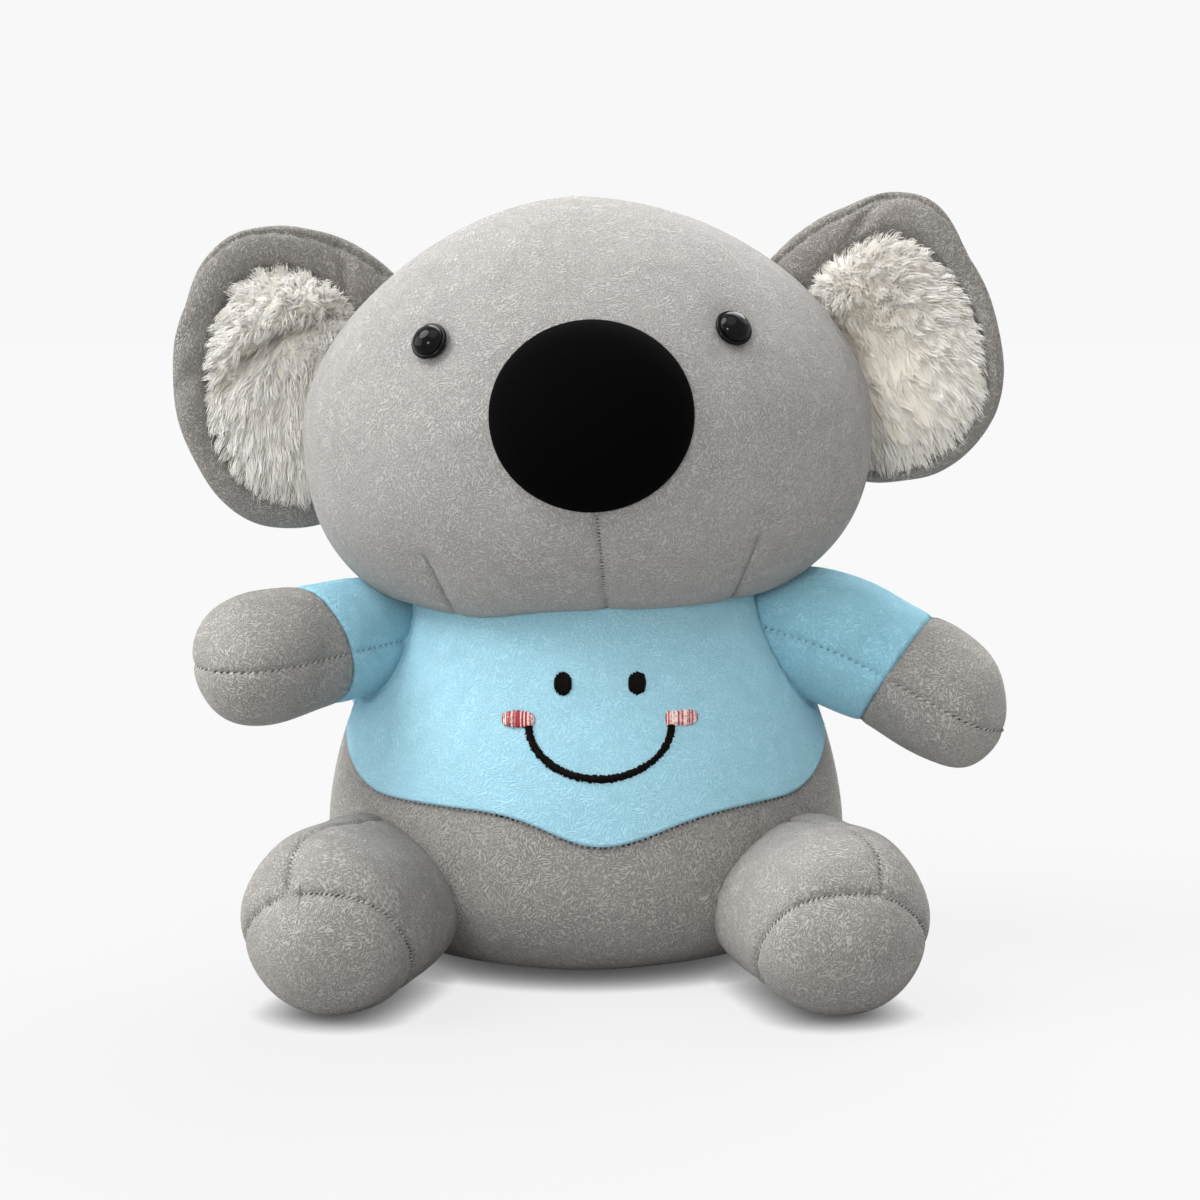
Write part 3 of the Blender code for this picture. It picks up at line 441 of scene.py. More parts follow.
# Moulded ABS or acrylic: hard, even and glossy; a faint haze of handling keeps it from a mirror.
def mouldedPlastic(name, look):
    material, add = newMaterial(name)
    place = add("TexCoord").outputs["Object"]
    haze = add("TexNoise", {"Vector": place, "Scale": 300.0, "Detail": 3.0})  # 3 mm smears
    rough = add("MapRange", {"Value": haze, "To Min": look["smooth"], "To Max": look["smooth"] + 0.1})
    shader = add("BsdfPrincipled", {
        "Base Color": linear(look["colour"]), "Roughness": rough, "IOR": 1.49, "Specular IOR Level": look["gloss"]})
    add("OutputMaterial", {"Surface": shader})
    return material


blackPlastic = mouldedPlastic("black moulded acrylic", {"colour": "#030303", "smooth": 0.04, "gloss": 0.15})
whiteNylon = mouldedPlastic("white moulded nylon", {"colour": "#e6e4df", "smooth": 0.35, "gloss": 0.5})
print("materials are made")


# a Catmull-Rom curve between the second and the third of four points, at a share from 0 to 1
def between(a, b, c, d, f):
    return b + 0.5 * f * (c - a + f * (2 * a - 5 * b + 4 * c - d + f * (3 * (b - c) + d - a)))


# a limb's smooth meridian as (height, radius): the ball at its root, radii at shares of its length, and its tip, with
# mirrored points beyond both ends so that they close round
def meridian(form, long):
    ball = form["ball"]
    table = [(-ball, 0), (-0.7071 * ball, 0.7071 * ball), (ball / 6, ball)]
    table += [(long * s, r) for s, r in zip(form["shares"], form["radii"])] + [(long, 0)]
    table, mirror = np.array(table, float), np.array((1, -1))
    points = np.vstack([table[1] * mirror, table, table[-2] * mirror])
    t = np.linspace(0, len(table) - 1, 800)
    n = np.minimum(np.floor(t).astype(int), len(table) - 2)
    return between(*(points[n + k] for k in range(4)), (t - n)[:, None])


# how far along a meridian each point lies
def runAlong(curve):
    return np.concatenate([[0], np.cumsum(np.linalg.norm(np.diff(curve, axis=0), axis=1))])


# (height, radius) at distances along a meridian
def alongCurve(curve, wanted):
    return np.stack([np.interp(wanted, runAlong(curve), curve[:, k]) for k in range(2)], -1)


# a limb spun round its own axis, its tip hanging by a sag that grows with the square of the length
def spun(rows, around, sag, length):
    h, r = rows[..., 0], rows[..., 1]
    droop = sag * (np.maximum(0, h) / length) ** 2
    return np.stack([r * np.cos(around) - droop, r * np.sin(around), h + 0 * around], -1)


# a limb's frame: Z along it, X upwards
def limbFrame(side, root, way):
    up = (Vector((0, 0, 1)) - way * way.z).normalized()
    turn = Matrix((up, way.cross(up), way)).transposed()
    return Matrix.Translation((side * root[0], root[1], root[2])) @ turn.to_4x4()


arm = {"ball": 0.0185, "root": (0.0675, -0.007, 0.107), "length": 0.071, "shares": (0.42, 0.72, 0.91),
       "radii": (0.0200, 0.0210, 0.01565), "columns": 128, "sleeveRows": 52, "pawRows": 56,
       "riseLong": 0.065, "swellAt": 0.017, "swellHalf": 0.015,
       # rows inside the cuff, three to close the sleeve and three to close the paw: a step along the arm and a share
       "caps": ((0.0002, 0.86), (-0.002, 0.5), (-0.002, 0), (0.003, 0), (0.003, 0.5), (-0.0002, 0.86)),
       "valley": 0.0005, "pillow": 0.0006, "pillowHalf": 0.004, "lump": 0.0005, "lumpSize": 0.02, "lumpSeed": 41}
armPose = {1: {"droop": 15, "forward": 16, "sag": 0.010, "longer": 1.05, "cuff": 0.0360, "cuffTilt": 0.0065,
               "rise": 0.0040, "swell": 0.0019},
           -1: {"droop": 2, "forward": 46, "sag": 0.002, "longer": 1.0, "cuff": 0.0285, "cuffTilt": 0.004,
                "rise": 0.0, "swell": 0.0}}


# an arm's frame, its meridian from the ball in the shoulder to the tip of the paw, and its length
def armShape(side):
    pose = armPose[side]
    long = arm["length"] * pose["longer"]
    way = direction(side * (90 - pose["forward"]), -pose["droop"])
    return limbFrame(side, arm["root"], way), meridian(arm, long), long


# places an arm's rows: spun, sagging at the tip, standing up a little over the shoulder, and with the top side filled
# out in mid-sleeve by a bell
def armPlaced(side, rows, around):
    limb, _, long = armShape(side)
    h, pose = rows[..., 0], armPose[side]
    grid = placed(spun(rows, around, pose["sag"], long), limb)
    lift = pose["rise"] * np.clip(1 - h / arm["riseLong"], 0, 1)
    lift += pose["swell"] * bell((h - arm["swellAt"]) / arm["swellHalf"])
    grid[..., 2] += lift * (0.5 + 0.5 * np.cos(around))
    return grid


# the armhole: where the sleeve's rows leave the torso, found column by column and smoothed
def armhole(side):
    around = ringAngles(64)
    rows = alongCurve(armShape(side)[1], np.linspace(0.010, 0.060, 120)[:, None] + 0 * around)
    grid = armPlaced(side, rows, around)
    deep = np.where(grid[..., 1] < 0, torso["front"], torso["back"])
    outside = np.hypot(grid[..., 0] / torso["halfWidth"], grid[..., 1] / deep) > widthShare(torso, grid[..., 2])
    ring = grid[np.argmax(outside, axis=0), np.arange(len(around))]
    for _ in range(3):
        ring = (np.roll(ring, 1, 0) + ring * 2 + np.roll(ring, -1, 0)) / 4
    return np.vstack([ring, ring[:1]])


torso = {"halfWidth": 0.085, "front": 0.064, "back": 0.060, "waist": 0.042, "above": 0.132, "below": 0.0425,
         "abovePower": 1.6, "belowPower": 3.0, "columns": 420, "shirtRows": 76, "upperRows": 26, "lowerRows": 44,
         "top": 0.1265, "overlap": 0.0009, "lapAt": 0.075, "holesDown": 0.0006,
         # rows inside that close each skin: steps from the hem with shares of the width, and each skin's middle
         "shirtTuck": ((0.0002, 0.965), (0.002, 0.7)), "lowerTuck": ((-0.002, 0.7), (0.002, 0.965)),
         "topTuck": 0.6, "middles": (0.075, 0.055),
         "valley": 0.0003, "pillow": 0.0004, "lump": 0.0007, "lumpSize": 0.05, "lumpSeed": 11}
armholeLook = {**torso, "valley": 0.0008, "pillow": 0.0008, "valleyHalf": 0.0016, "pillowHalf": 0.004}
hem = {"halfWidth": 0.0814, "frontEnd": -0.165, "level": 0.0590, "dip": 0.0105, "dipHalf": (0.0205, 0.025),
       "middle": 0.0045, "sideRise": 0.0045, "sideAt": 0.086, "back": 0.084,
       "roundFrom": 0.0605, "roundTo": 0.0811, "roundUp": 0.022}


# a form's reach and power above or below its waist
def reachAndPower(form, up):
    return np.where(up, form["above"], form["below"]), np.where(up, form["abovePower"], form["belowPower"])


# how wide a form is at a height, as a share: a superellipse above and below the waist
def widthShare(form, z):
    reach, power = reachAndPower(form, z > form["waist"])
    return np.clip(1 - (np.abs(z - form["waist"]) / reach) ** power, 0, 1) ** (1 / power)


# a form's front surface over points (x, z): half an ellipse in plan, scaled by the share at its height
def frontPoint(form, x, z):
    y = -form["front"] * np.sqrt(np.maximum(widthShare(form, z) ** 2 - (x / form["halfWidth"]) ** 2, 0))
    return np.stack(np.broadcast_arrays(x, y, z), -1)


# unit normals of a form's front over points (x, z), from two small steps
def frontNormal(form, x, z):
    here, step = frontPoint(form, x, z), 1e-5
    normal = np.cross(frontPoint(form, x + step, z) - here, frontPoint(form, x, z + step) - here)
    return normal / np.linalg.norm(normal, axis=-1, keepdims=True)


# points round the torso: half an ellipse in front and another behind, scaled by a share
def torsoRing(angle, z, share):
    deep = np.where(np.sin(angle) < 0, torso["front"], torso["back"])
    ring = torso["halfWidth"] * share * np.cos(angle), deep * share * np.sin(angle), z
    return np.stack(np.broadcast_arrays(*ring), -1)


# points on the torso at a height, or inside it where they are drawn in
def torsoPoint(angle, z, drawnIn=1.0):
    return torsoRing(angle, z, widthShare(torso, z) * drawnIn)


# the hem's height round the torso: level in front with a dip, curving up at the sides to the back hem
def hemHeight(angle):
    x = hem["halfWidth"] * np.cos(angle)
    dipHalf = np.where(x < hem["middle"], *hem["dipHalf"])
    u = np.clip((np.abs(x) - hem["roundFrom"]) / (hem["roundTo"] - hem["roundFrom"]), 0, 1)
    z = hem["level"] - hem["dip"] * bell((x - hem["middle"]) / dipHalf)
    z += hem["sideRise"] * np.minimum(1, np.abs(x) / hem["sideAt"]) ** 4 + hem["roundUp"] * (1 - np.sqrt(1 - u**2))
    return np.where(np.sin(angle) < hem["frontEnd"], np.minimum(z, hem["back"]), hem["back"])


angles = ringAngles(torso["columns"])
hemLine = hemHeight(angles)


# a row inside the torso, which closes a skin
def innerRow(z, drawnIn):
    return torsoPoint(angles, z + 0 * angles, drawnIn)[None]


down = np.linspace(0, 1, torso["shirtRows"])[:, None]
shirtRows = torsoPoint(angles, torso["top"] + (hemLine - torso["top"]) * down)
lap = torso["overlap"] / torso["lapAt"] * down[..., None] ** 6  # the hem laps over the grey
capTop = [innerRow(torso["top"], share) for share in (0, torso["topTuck"])]
capHem = [innerRow(hemLine + by, share) for by, share in torso["shirtTuck"]] + [innerRow(torso["middles"][0], 0)]
shirtGrid = np.concatenate(capTop + [shirtRows * (1 + lap * np.array((1, 1, 0)))] + capHem)
shirtGrid, shirtSeams = pressSeams(shirtGrid, [armhole(side) for side in sides], armholeLook, slice(2, -3))
shirtSeams = {key: np.ones(shirtGrid.shape[:2]) for key in shirtSeams}  # no needle holes show on the top
shirt = closedSkin("shirt_skin", shirtGrid, shirtCloth, shirtSeams)
dress(shirt, "torso", "blue_plush", "shirt_front", "shirt_back", fill=0.8)

upper = torsoPoint(angles, hemLine + (torso["waist"] - hemLine) * np.linspace(0, 1, torso["upperRows"])[:, None])
lean = np.linspace(0, math.pi / 2, torso["lowerRows"])[1:-1, None]
power = torso["belowPower"]
k = (np.cos(lean) ** power + np.sin(lean) ** power) ** (-1 / power)
under = torsoRing(angles, torso["waist"] - torso["below"] * np.sin(lean) * k, np.cos(lean) * k)
capHem = [innerRow(torso["middles"][1], 0)] + [innerRow(hemLine + by, share) for by, share in torso["lowerTuck"]]
lowerGrid = np.concatenate(capHem + [upper, under, innerRow(torso["waist"] - torso["below"], 0)])
lowerGrid, lowerSeams = pressSeams(lowerGrid, [closedPath(torsoPoint(angles, hemLine))], torso, slice(3, -1))
lowerGrid[..., 2] = np.maximum(lowerGrid[..., 2], 0)
below = np.sign(np.median(lowerSeams["seamSide"][6:12]))
lowerSeams["seamSide"] -= below * torso["holesDown"]  # the needle holes show just under the blue edge
lowerBody = closedSkin("lower_body_skin", lowerGrid, greyCloth, lowerSeams)
dress(lowerBody, "torso", "grey_plush", "lower_front_panel", "seat_panel", "torso_stuffing", fill=0.8)
print("torso is made")


# heights are over the head's own middle, which is its waist too
head = {"halfWidth": 0.092, "front": 0.068, "back": 0.066, "waist": 0.0, "above": 0.0724, "below": 0.066,
        "abovePower": 1.75, "belowPower": 2.65, "place": (0, -0.004, 0.176), "lean": 3.5, "columns": 430, "rows": 230,
        "neck": 0.1200, "neckRounding": 0.0035, "eyeDent": 0.0014, "eyeDentHalf": 0.0085, "crownSeam": 0.012,
        "jowlFrom": 0.140, "jowlHigh": 0.022, "jowlDeep": 0.02, "jowlDrop": 0.0012,
        "dartDrop": 0.0028, "dartAt": -0.036, "dartHalf": 0.017,
        "valley": 0.0007, "pillow": 0.0011, "lump": 0.0008, "lumpSize": 0.06, "lumpSeed": 21}
eyeAt = {1: (0.0468, 0.0288), -1: (-0.0455, 0.0304)}  # on the face, in the head's own frame
headFrame = Matrix.Translation(head["place"]) @ Matrix.Rotation(-math.radians(head["lean"]), 4, "Y")


# the head's surface in a direction: a superellipsoid with its own reach and power to each side
def headPoint(way):
    deep = np.where(way[..., 1] < 0, head["front"], head["back"])
    across = np.hypot(way[..., 0] / head["halfWidth"], way[..., 1] / deep)
    height, power = reachAndPower(head, way[..., 2] > 0)
    reach = (across**power + (np.abs(way[..., 2]) / height) ** power) ** (-1 / power)
    return way * reach[..., None]


# a frame on the face: Z out of the cloth, Y up the face
def faceFrame(x, z):
    here, out = frontPoint(head, x, z), Vector(frontNormal(head, x, z))
    across = Vector((0, 0, 1)).cross(out).normalized()
    turn = Matrix((across, out.cross(across), out)).transposed()
    return headFrame @ Matrix.Translation(here) @ turn.to_4x4()


headGrid = placed(headPoint(sphereWays(head["rows"], head["columns"])), headFrame)
drop = np.linspace(0, 1, 26)
facePaths = [(0.002 + 0.0015 * drop, -0.021 - 0.044 * drop)]  # the chin seam, then the two darts
facePaths += [(side * (0.052 - 0.010 * drop), -0.037 - 0.025 * drop) for side in sides]
turn = np.linspace(-2.2, 2.2, 70)
seamWay = np.stack([np.sin(turn), 0 * turn, np.cos(turn)], -1)
for _ in range(8):  # turns the crown seam's directions back until it lies at its depth behind the middle
    reach = np.linalg.norm(headPoint(seamWay), axis=-1) / np.linalg.norm(seamWay, axis=-1)
    seamWay[:, 1] = head["crownSeam"] / reach
headPaths = [placed(path, headFrame) for path in [*(frontPoint(head, x, z) for x, z in facePaths), headPoint(seamWay)]]
headGrid, headSeams = pressSeams(headGrid, headPaths, head)
dent = np.zeros(headGrid.shape[:2])
for side in sides:
    centre = np.array(faceFrame(*eyeAt[side]).translation)
    dent += head["eyeDent"] * bell(np.linalg.norm(headGrid - centre, axis=-1) / head["eyeDentHalf"])
headGrid -= gridNormals(headGrid) * dent[..., None]
# the face panel is drawn down to the neck seam, most at the toy's right dart: all that is low and in front drops a bit
low = np.clip((head["jowlFrom"] - headGrid[..., 2]) / head["jowlHigh"], 0, 1) ** 2
low *= np.clip(-headGrid[..., 1] / head["jowlDeep"], 0, 1)
fall = (head["jowlDrop"] + head["dartDrop"] * bell((headGrid[..., 0] - head["dartAt"]) / head["dartHalf"])) * low
headGrid[..., 2] = softMax(headGrid[..., 2] - fall, head["neck"] - fall, head["neckRounding"])
number = headSeams["seamRun"] // seamStep
headSeams["seamPlain"] = ((number == 1) | (number == 2)).astype(float)  # the darts show no holes
headSkin = closedSkin("head_skin", headGrid, litHeadCloth, headSeams)
dress(headSkin, "head", "grey_plush", "head_stuffing", "face_panel", "head_back_panel", fill=0.9)

nose = {"half": (0.0312, 0.0292, 0.013), "sunk": 0.005, "at": (0.0024, 0.0068)}
noseGrid = sphereWays(90, 150) * nose["half"] - (0, 0, nose["sunk"])
noseSkin = closedSkin("nose_skin", placed(noseGrid, faceFrame(*nose["at"])), blackVelvet)
dress(noseSkin, "head", "black_plush", "nose_cover", "nose_pad", fill=0.8)

# a turned eye: a low dome, a rolled rim and a flat back with a shank, spun round the eye's own axis
eyeLook = {"radius": 0.0060, "rim": 0.0014, "roll": 0.0007, "dome": 0.003312, "domeHalf": 0.00516, "back": 0.0013,
           "shank": 0.0020, "shankLong": 0.0110}
radius, rim, roll = (eyeLook[key] for key in ("radius", "rim", "roll"))
bow, curl = np.linspace(0, math.pi / 2, 22), np.radians(np.linspace(120, -90, 12))
dome = np.stack([eyeLook["domeHalf"] * np.sin(bow), rim + 0.0002 + eyeLook["dome"] * np.cos(bow) ** 1.1], -1)
edge = np.stack([radius - roll + roll * np.cos(curl), rim - 0.0004 + roll * np.sin(curl)], -1)
shank = [(radius * 0.8, -eyeLook["back"]), (eyeLook["shank"], -eyeLook["back"]),
         (eyeLook["shank"], -eyeLook["shankLong"]), (0, -eyeLook["shankLong"])]
profile, spin = np.concatenate([dome, edge, shank]), ringAngles(64)
grid = np.stack([profile[:, :1] * np.cos(spin), profile[:, :1] * np.sin(spin), profile[:, 1:] + 0 * spin], -1)
for side, word in sides.items():
    eyePiece = closedSkin(f"eye_dome_{word}", placed(grid, faceFrame(*eyeAt[side])), blackPlastic)
    dress(eyePiece, "head", "black_plastic", f"eye_{word}")
    for slotHere in bpy.data.objects[f"eye_washer_{word}"].material_slots:
        slotHere.material = whiteNylon
print("head is made")


ear = {"place": (0.0866, 0.013, 0.0198), "radius": 0.050, "turn": 12, "front": 0.0035, "back": 0.0110,
       "roll": 0.0036, "columns": 240,
       # the outline's reach, as shares of the radius, every 30 degrees from straight outwards over the top
       "shares": {1: (1.008, 0.976, 1.064, 0.866, 0.752, 0.74, 0.76, 0.76, 0.80, 0.913, 1.045, 1.095),
                  -1: (0.962, 0.982, 1.064, 0.947, 0.848, 0.80, 0.76, 0.76, 0.81, 0.985, 1.077, 1.006)},
       # the grey border's width in mm, every 30 degrees in the same way
       "borders": {1: (6.5, 8.5, 13.5, 15.0, 16.5, 16.5, 8.0, 2.0, 3.5, 5.0, 5.5, 6.0),
                   -1: (11.0, 11.0, 13.0, 14.5, 19.0, 20.0, 10.0, 4.0, 8.0, 10.0, 10.0, 10.0)},
       # dents in the border: angle and half width in degrees, depth in mm
       "dents": {1: ((78, 5, 2.2), (138, 6, 2.0), (-32, 9, 1.2), (20, 10, 0.8)),
                 -1: ((106, 5, 2.4), (94, 4, 1.4), (25, 8, 1.4), (3, 6, 1.2), (130, 6, 1.0), (-40, 12, 0.8))},
       "dishHalf": 0.012, "dishShare": 0.6,  # how far in the dish is full, and its share of the front
       "seamIn": 0.0030, "seamInAt": 105, "seamInHalf": 50, "seamY": 0.0012, "valley": 0.0009, "pillow": 0.0004,
       "lump": 0.0006, "lumpSize": 0.022, "lumpSeed": 31}
# the fur lies in a short thick layer and a longer one round the rim; the right ear's has a fold across it,
# given as points (outwards, up) from the ear's middle
fur = {"puff": 0.0050, "edge": 0.0030, "foldDeep": 0.0042, "foldHalf": 0.0030, "foldRoll": 0.0030,
       "fold": [(-0.009, 0.019), (0.0053, 0.0167), (0.015, 0.012), (0.022, 0.008), (0.027, 0.0037), (0.031, -0.0013)],
       # blades lean outwards, the more the nearer the rim, and fall forwards and down; then each clump's and each
       # blade's own scatter, the least and most that one leans to the front, its curl, and how far its tip hangs
       "outwards": (0.30, 1.0), "fall": (0, -0.36, -0.50), "scatter": (0.30, 0.12), "forward": (-0.55, -0.18),
       "curl": 0.14, "hang": 0.0015, "steps": np.array((0.0, 0.34, 0.68, 1.0)), "taper": (0.9, 1.0, 0.75),
       # the blades' soft normals: the share of their own round, towards the viewer and the light, the rim and the clump
       "round": 0.5, "lit": (0.30, -1.0, 0.60), "rimwards": 0.35, "clumpwards": 0.22,
       # how white the blades are: each clump's and each blade's own scatter, where it turns and how fast towards the
       # rim of the left ear, and the right ear's evenly; then the painted shade in the right ear's fold: how much
       # darker and how near
       "toneScatter": (0.6, 0.4), "rimTone": (0.75, 1.9), "evenTone": 0.6, "foldShade": (1.6, 0.0022),
       "blades": 12400, "layers": {
           "short": {"clumps": 1300, "long": 0.0052, "wide": 0.00025, "from": 0.0, "gather": 0.32},
           "long": {"clumps": 800, "long": 0.0068, "wide": 0.00022, "from": 0.45, "gather": 0.42}}}


# a smooth closed curve through twelve numbers round the ear
def roundTable(numbers, angle):
    table = np.array(numbers)
    t = (angle % (2 * math.pi)) / (math.pi / 6)
    n = np.floor(t).astype(int)
    return between(*(table[(n + k) % 12] for k in (-1, 0, 1, 2)), t - n)


def earReach(side, angle):
    return ear["radius"] * roundTable(ear["shares"][side], angle)


def borderWidth(side, angle):
    return np.maximum(roundTable(ear["borders"][side], angle) * mm, 0.001)


# the ear's front, towards the viewer, at a distance in from its outline: a rolled, dented border round a shallow dish
def earFrontDepth(side, edge, angle):
    u = np.clip(edge / np.maximum(borderWidth(side, angle), 0.002), 0, 1)
    roll = np.sqrt(np.maximum(1 - (2 * u - 1) ** 2, 0))
    depth = roll * ear["roll"] + ear["front"] * ear["dishShare"] * np.minimum(1, edge / ear["dishHalf"]) ** 0.6
    for at, half, deep in ear["dents"][side]:
        away = (np.degrees(angle) - at - 14 * (u - 0.5) + 180) % 360 - 180
        depth = depth - deep * mm * bell(away / half) * roll
    return depth


# how near a point of the right ear lies to the fold in its fur, and above or below it
def foldPlace(x, z):
    near, above = np.full(np.shape(x), 1.0), np.zeros(np.shape(x))
    fold = np.array(fur["fold"])
    for (x0, z0), (dx, dz) in zip(fold[:-1], np.diff(fold, axis=0)):
        t = np.clip(((x - x0) * dx + (z - z0) * dz) / (dx * dx + dz * dz), 0, 1)
        gap = np.hypot(x - x0 - t * dx, z - z0 - t * dz)
        above = np.where(gap < near, dx * (z - z0) - dz * (x - x0), above)
        near = np.minimum(near, gap)
    return near, above


# how far the fur's bed stands off the ear: a low cushion, flatter in the left ear's middle, and with a fold pressed
# across it in the right ear
def furBed(side, x, z, edge):
    lift = fur["puff"] * np.sqrt(np.clip(edge / 0.010, 0, 1))
    if side > 0:
        return lift * (1 - 0.75 * bell(np.hypot(x - 0.006, z + 0.003) / 0.017))
    near, above = foldPlace(x, z)
    deep = fur["foldDeep"] * bell(near / fur["foldHalf"])
    roll = fur["foldRoll"] * bell((near - 0.007) / 0.006) * (above > 0)
    return np.maximum(lift + (roll - deep) * np.clip(edge / 0.006, 0, 1), 0.0004)


def unit(vectors):
    return vectors / np.maximum(np.linalg.norm(vectors, axis=-1, keepdims=True), 1e-9)


# fur blades: each is a thin three-sided spike that bends from its root towards its own clump's tip.
# Ten points each: three rings of three and a tip. Gives the points, each blade's clump, and soft normals
def furBlades(rng, root, out, side, look):
    count, clumps, steps = fur["blades"], look["clumps"], fur["steps"]
    seeds = rng.integers(0, count, clumps)
    centre = root[seeds]
    own = np.concatenate([((part[:, None, ::2] - centre[None, :, ::2]) ** 2).sum(-1).argmin(1)
                          for part in np.array_split(root, 12)])
    way = rng.normal(size=(clumps, 3))
    radial = root * (1, 0, 1) / np.maximum(np.hypot(root[:, 0], root[:, 2]), 1e-6)[:, None]
    lean = radial * (fur["outwards"][0] + fur["outwards"][1] * out[:, None] ** 2) + np.array(fur["fall"])
    lean += way[own] * fur["scatter"][0] + rng.normal(size=(count, 3)) * fur["scatter"][1]
    lean[:, 1] = np.clip(lean[:, 1], *fur["forward"])
    lean = unit(lean)
    length = look["long"] * rng.uniform(0.65, 1.1, count)[:, None]
    curl = np.cross(lean, rng.normal(size=(count, 3)) * 0.5 + way[own])
    spine = root[:, None] + lean[:, None] * (length * steps)[..., None]
    spine += curl[:, None] * (length * fur["curl"] * np.sin(steps * math.pi))[..., None]
    meet = lean[seeds] * look["long"] + centre
    spine += (meet[own][:, None] - spine) * (look["gather"] * steps**1.5)[None, :, None]
    spine[..., 2] -= fur["hang"] * steps**2
    tangent = unit(np.gradient(spine, axis=1))
    one = unit(np.cross(tangent, np.array((0.3, 1.0, 0.2))))
    two = np.cross(tangent, one)
    taper = np.array(fur["taper"])[None, :, None] * look["wide"] / 2
    rings = [spine[:, :3] + taper * (one[:, :3] * math.cos(a) + two[:, :3] * math.sin(a)) for a in ringAngles(3)]
    points = np.concatenate([np.stack(rings, 2).reshape(count, 9, 3), spine[:, 3:]], 1)
    facing = unit(points - np.concatenate([np.repeat(spine[:, :3], 3, axis=1), spine[:, 3:]], 1)) * fur["round"]
    facing = facing + fur["lit"] * np.array((side, 1, 1)) + (radial * fur["rimwards"] * out[:, None])[:, None]
    return points, own, unit(facing + way[own][:, None] * fur["clumpwards"])


for side, word in sides.items():
    earFrame = (headFrame @ Matrix.Translation(np.array(ear["place"]) * (side, 1, 1))
                @ Matrix.Rotation(-side * math.radians(ear["turn"]), 4, "Z"))
    angle = ringAngles(ear["columns"])
    reach = earReach(side, angle)
    frontShare = np.sin(np.linspace(0, math.pi / 2, 46))[:, None]
    backShare = np.sin(np.linspace(math.pi / 2, 0, 40))[1:, None]
    frontY = -earFrontDepth(side, reach * (1 - frontShare), angle)
    backY = ear["back"] * np.sqrt(1 - backShare**2.4) + 0 * angle
    share = np.concatenate([frontShare, backShare])
    y = np.concatenate([frontY, backY])
    grid = np.stack([side * reach * share * np.cos(angle), y, reach * share * np.sin(angle)], -1)
    # the rim's seam comes a little way onto the front along the top edge
    seamIn = ear["seamIn"] * bell((np.degrees(angle) - ear["seamInAt"]) / ear["seamInHalf"])
    seamReach = reach - seamIn
    seamY = ear["seamY"] - (ear["seamY"] + earFrontDepth(side, seamIn, angle)) * np.clip(seamIn / mm, 0, 1)
    rimPath = np.stack([side * seamReach * np.cos(angle), seamY, seamReach * np.sin(angle)], -1)
    grid, earSeams = pressSeams(grid, [closedPath(rimPath)], ear)
    shell = closedSkin(f"ear_shell_{word}", placed(grid, earFrame), shadedEarCloth, earSeams)
    dress(shell, f"ear_{word}", "grey_plush", f"ear_back_{word}", f"ear_border_{word}", f"ear_wadding_{word}", fill=0.5)

    # the bed under the fur: a thin closed cushion of the same pile, its front following furBed
    bedShare = np.concatenate([np.linspace(0, 1, 44), np.linspace(1, 0, 10)[1:]])[:, None]
    bedReach = np.maximum(reach - borderWidth(side, angle) - fur["edge"], 0.001)
    bedX, bedZ = bedReach * bedShare * np.cos(angle), bedReach * bedShare * np.sin(angle)
    lying = -earFrontDepth(side, reach - bedReach * bedShare, angle)
    front = lying - furBed(side, bedX, bedZ, bedReach * (1 - bedShare))
    bed = np.stack([side * bedX, np.where(np.arange(len(bedShare))[:, None] < 44, front, lying + 0.001), bedZ], -1)
    plain = {"along": np.full(bed.shape[:2], 0.25), "tone": np.zeros(bed.shape[:2])}
    bedPiece = closedSkin(f"ear_fur_bed_{word}", placed(bed, earFrame), creamPile, plain)
    dress(bedPiece, f"ear_{word}", "cream_fur", f"ear_fur_{word}")

    for layer, look in fur["layers"].items():
        rng = np.random.default_rng(50 + side + 7 * len(layer))
        count, clumps = fur["blades"], look["clumps"]
        at = rng.uniform(0, 2 * math.pi, count)
        whole = earReach(side, at)
        inner = np.maximum(whole - borderWidth(side, at) - fur["edge"] - 0.0003, 0)
        out = np.sqrt(rng.uniform(look["from"] ** 2, 1, count))
        x, z = inner * out * np.cos(at), inner * out * np.sin(at)
        y = 0.0006 - earFrontDepth(side, whole - inner * out, at) - furBed(side, x, z, inner * (1 - out))
        points, own, facing = furBlades(rng, np.stack([side * x, y, z], -1), out, side, look)
        base = np.arange(count)[:, None, None] * 10
        after = [(k, (k + 1) % 3) for k in range(3)]
        quad = np.array([(3 * r + k, 3 * r + n, 3 * r + 3 + n, 3 * r + 3 + k) for r in range(2) for k, n in after])
        tri = np.array([(6 + k, 6 + n, 9) for k, n in after] + [(2, 1, 0)])
        tone = np.random.default_rng(3).uniform(-1, 1, clumps)[own] * fur["toneScatter"][0]
        tone += rng.uniform(-1, 1, count) * fur["toneScatter"][1]
        if side > 0:
            tone += (out - fur["rimTone"][0]) * fur["rimTone"][1]
        else:
            # painted shade: the right ear's blades are darker along its fold
            tone += fur["evenTone"] - fur["foldShade"][0] * bell(foldPlace(x, z)[0] / fur["foldShade"][1])
        along = np.concatenate([np.repeat(fur["steps"][:3], 3), [1.0]])
        fields = {"along": np.broadcast_to(along, (count, 10)), "tone": np.broadcast_to(tone[:, None], (count, 10))}
        blades = meshPiece(f"ear_fur_{layer}_{word}", placed(points.reshape(-1, 3), earFrame),
                           [(base + quad).reshape(-1, 4), (base + tri).reshape(-1, 3)], creamPile, fields)
        facing = facing.reshape(-1, 3) @ np.array(earFrame)[:3, :3].T
        blades.data.normals_split_custom_set_from_vertices(facing.tolist())
        dress(blades, f"ear_{word}", "cream_fur")
print("ears are made")


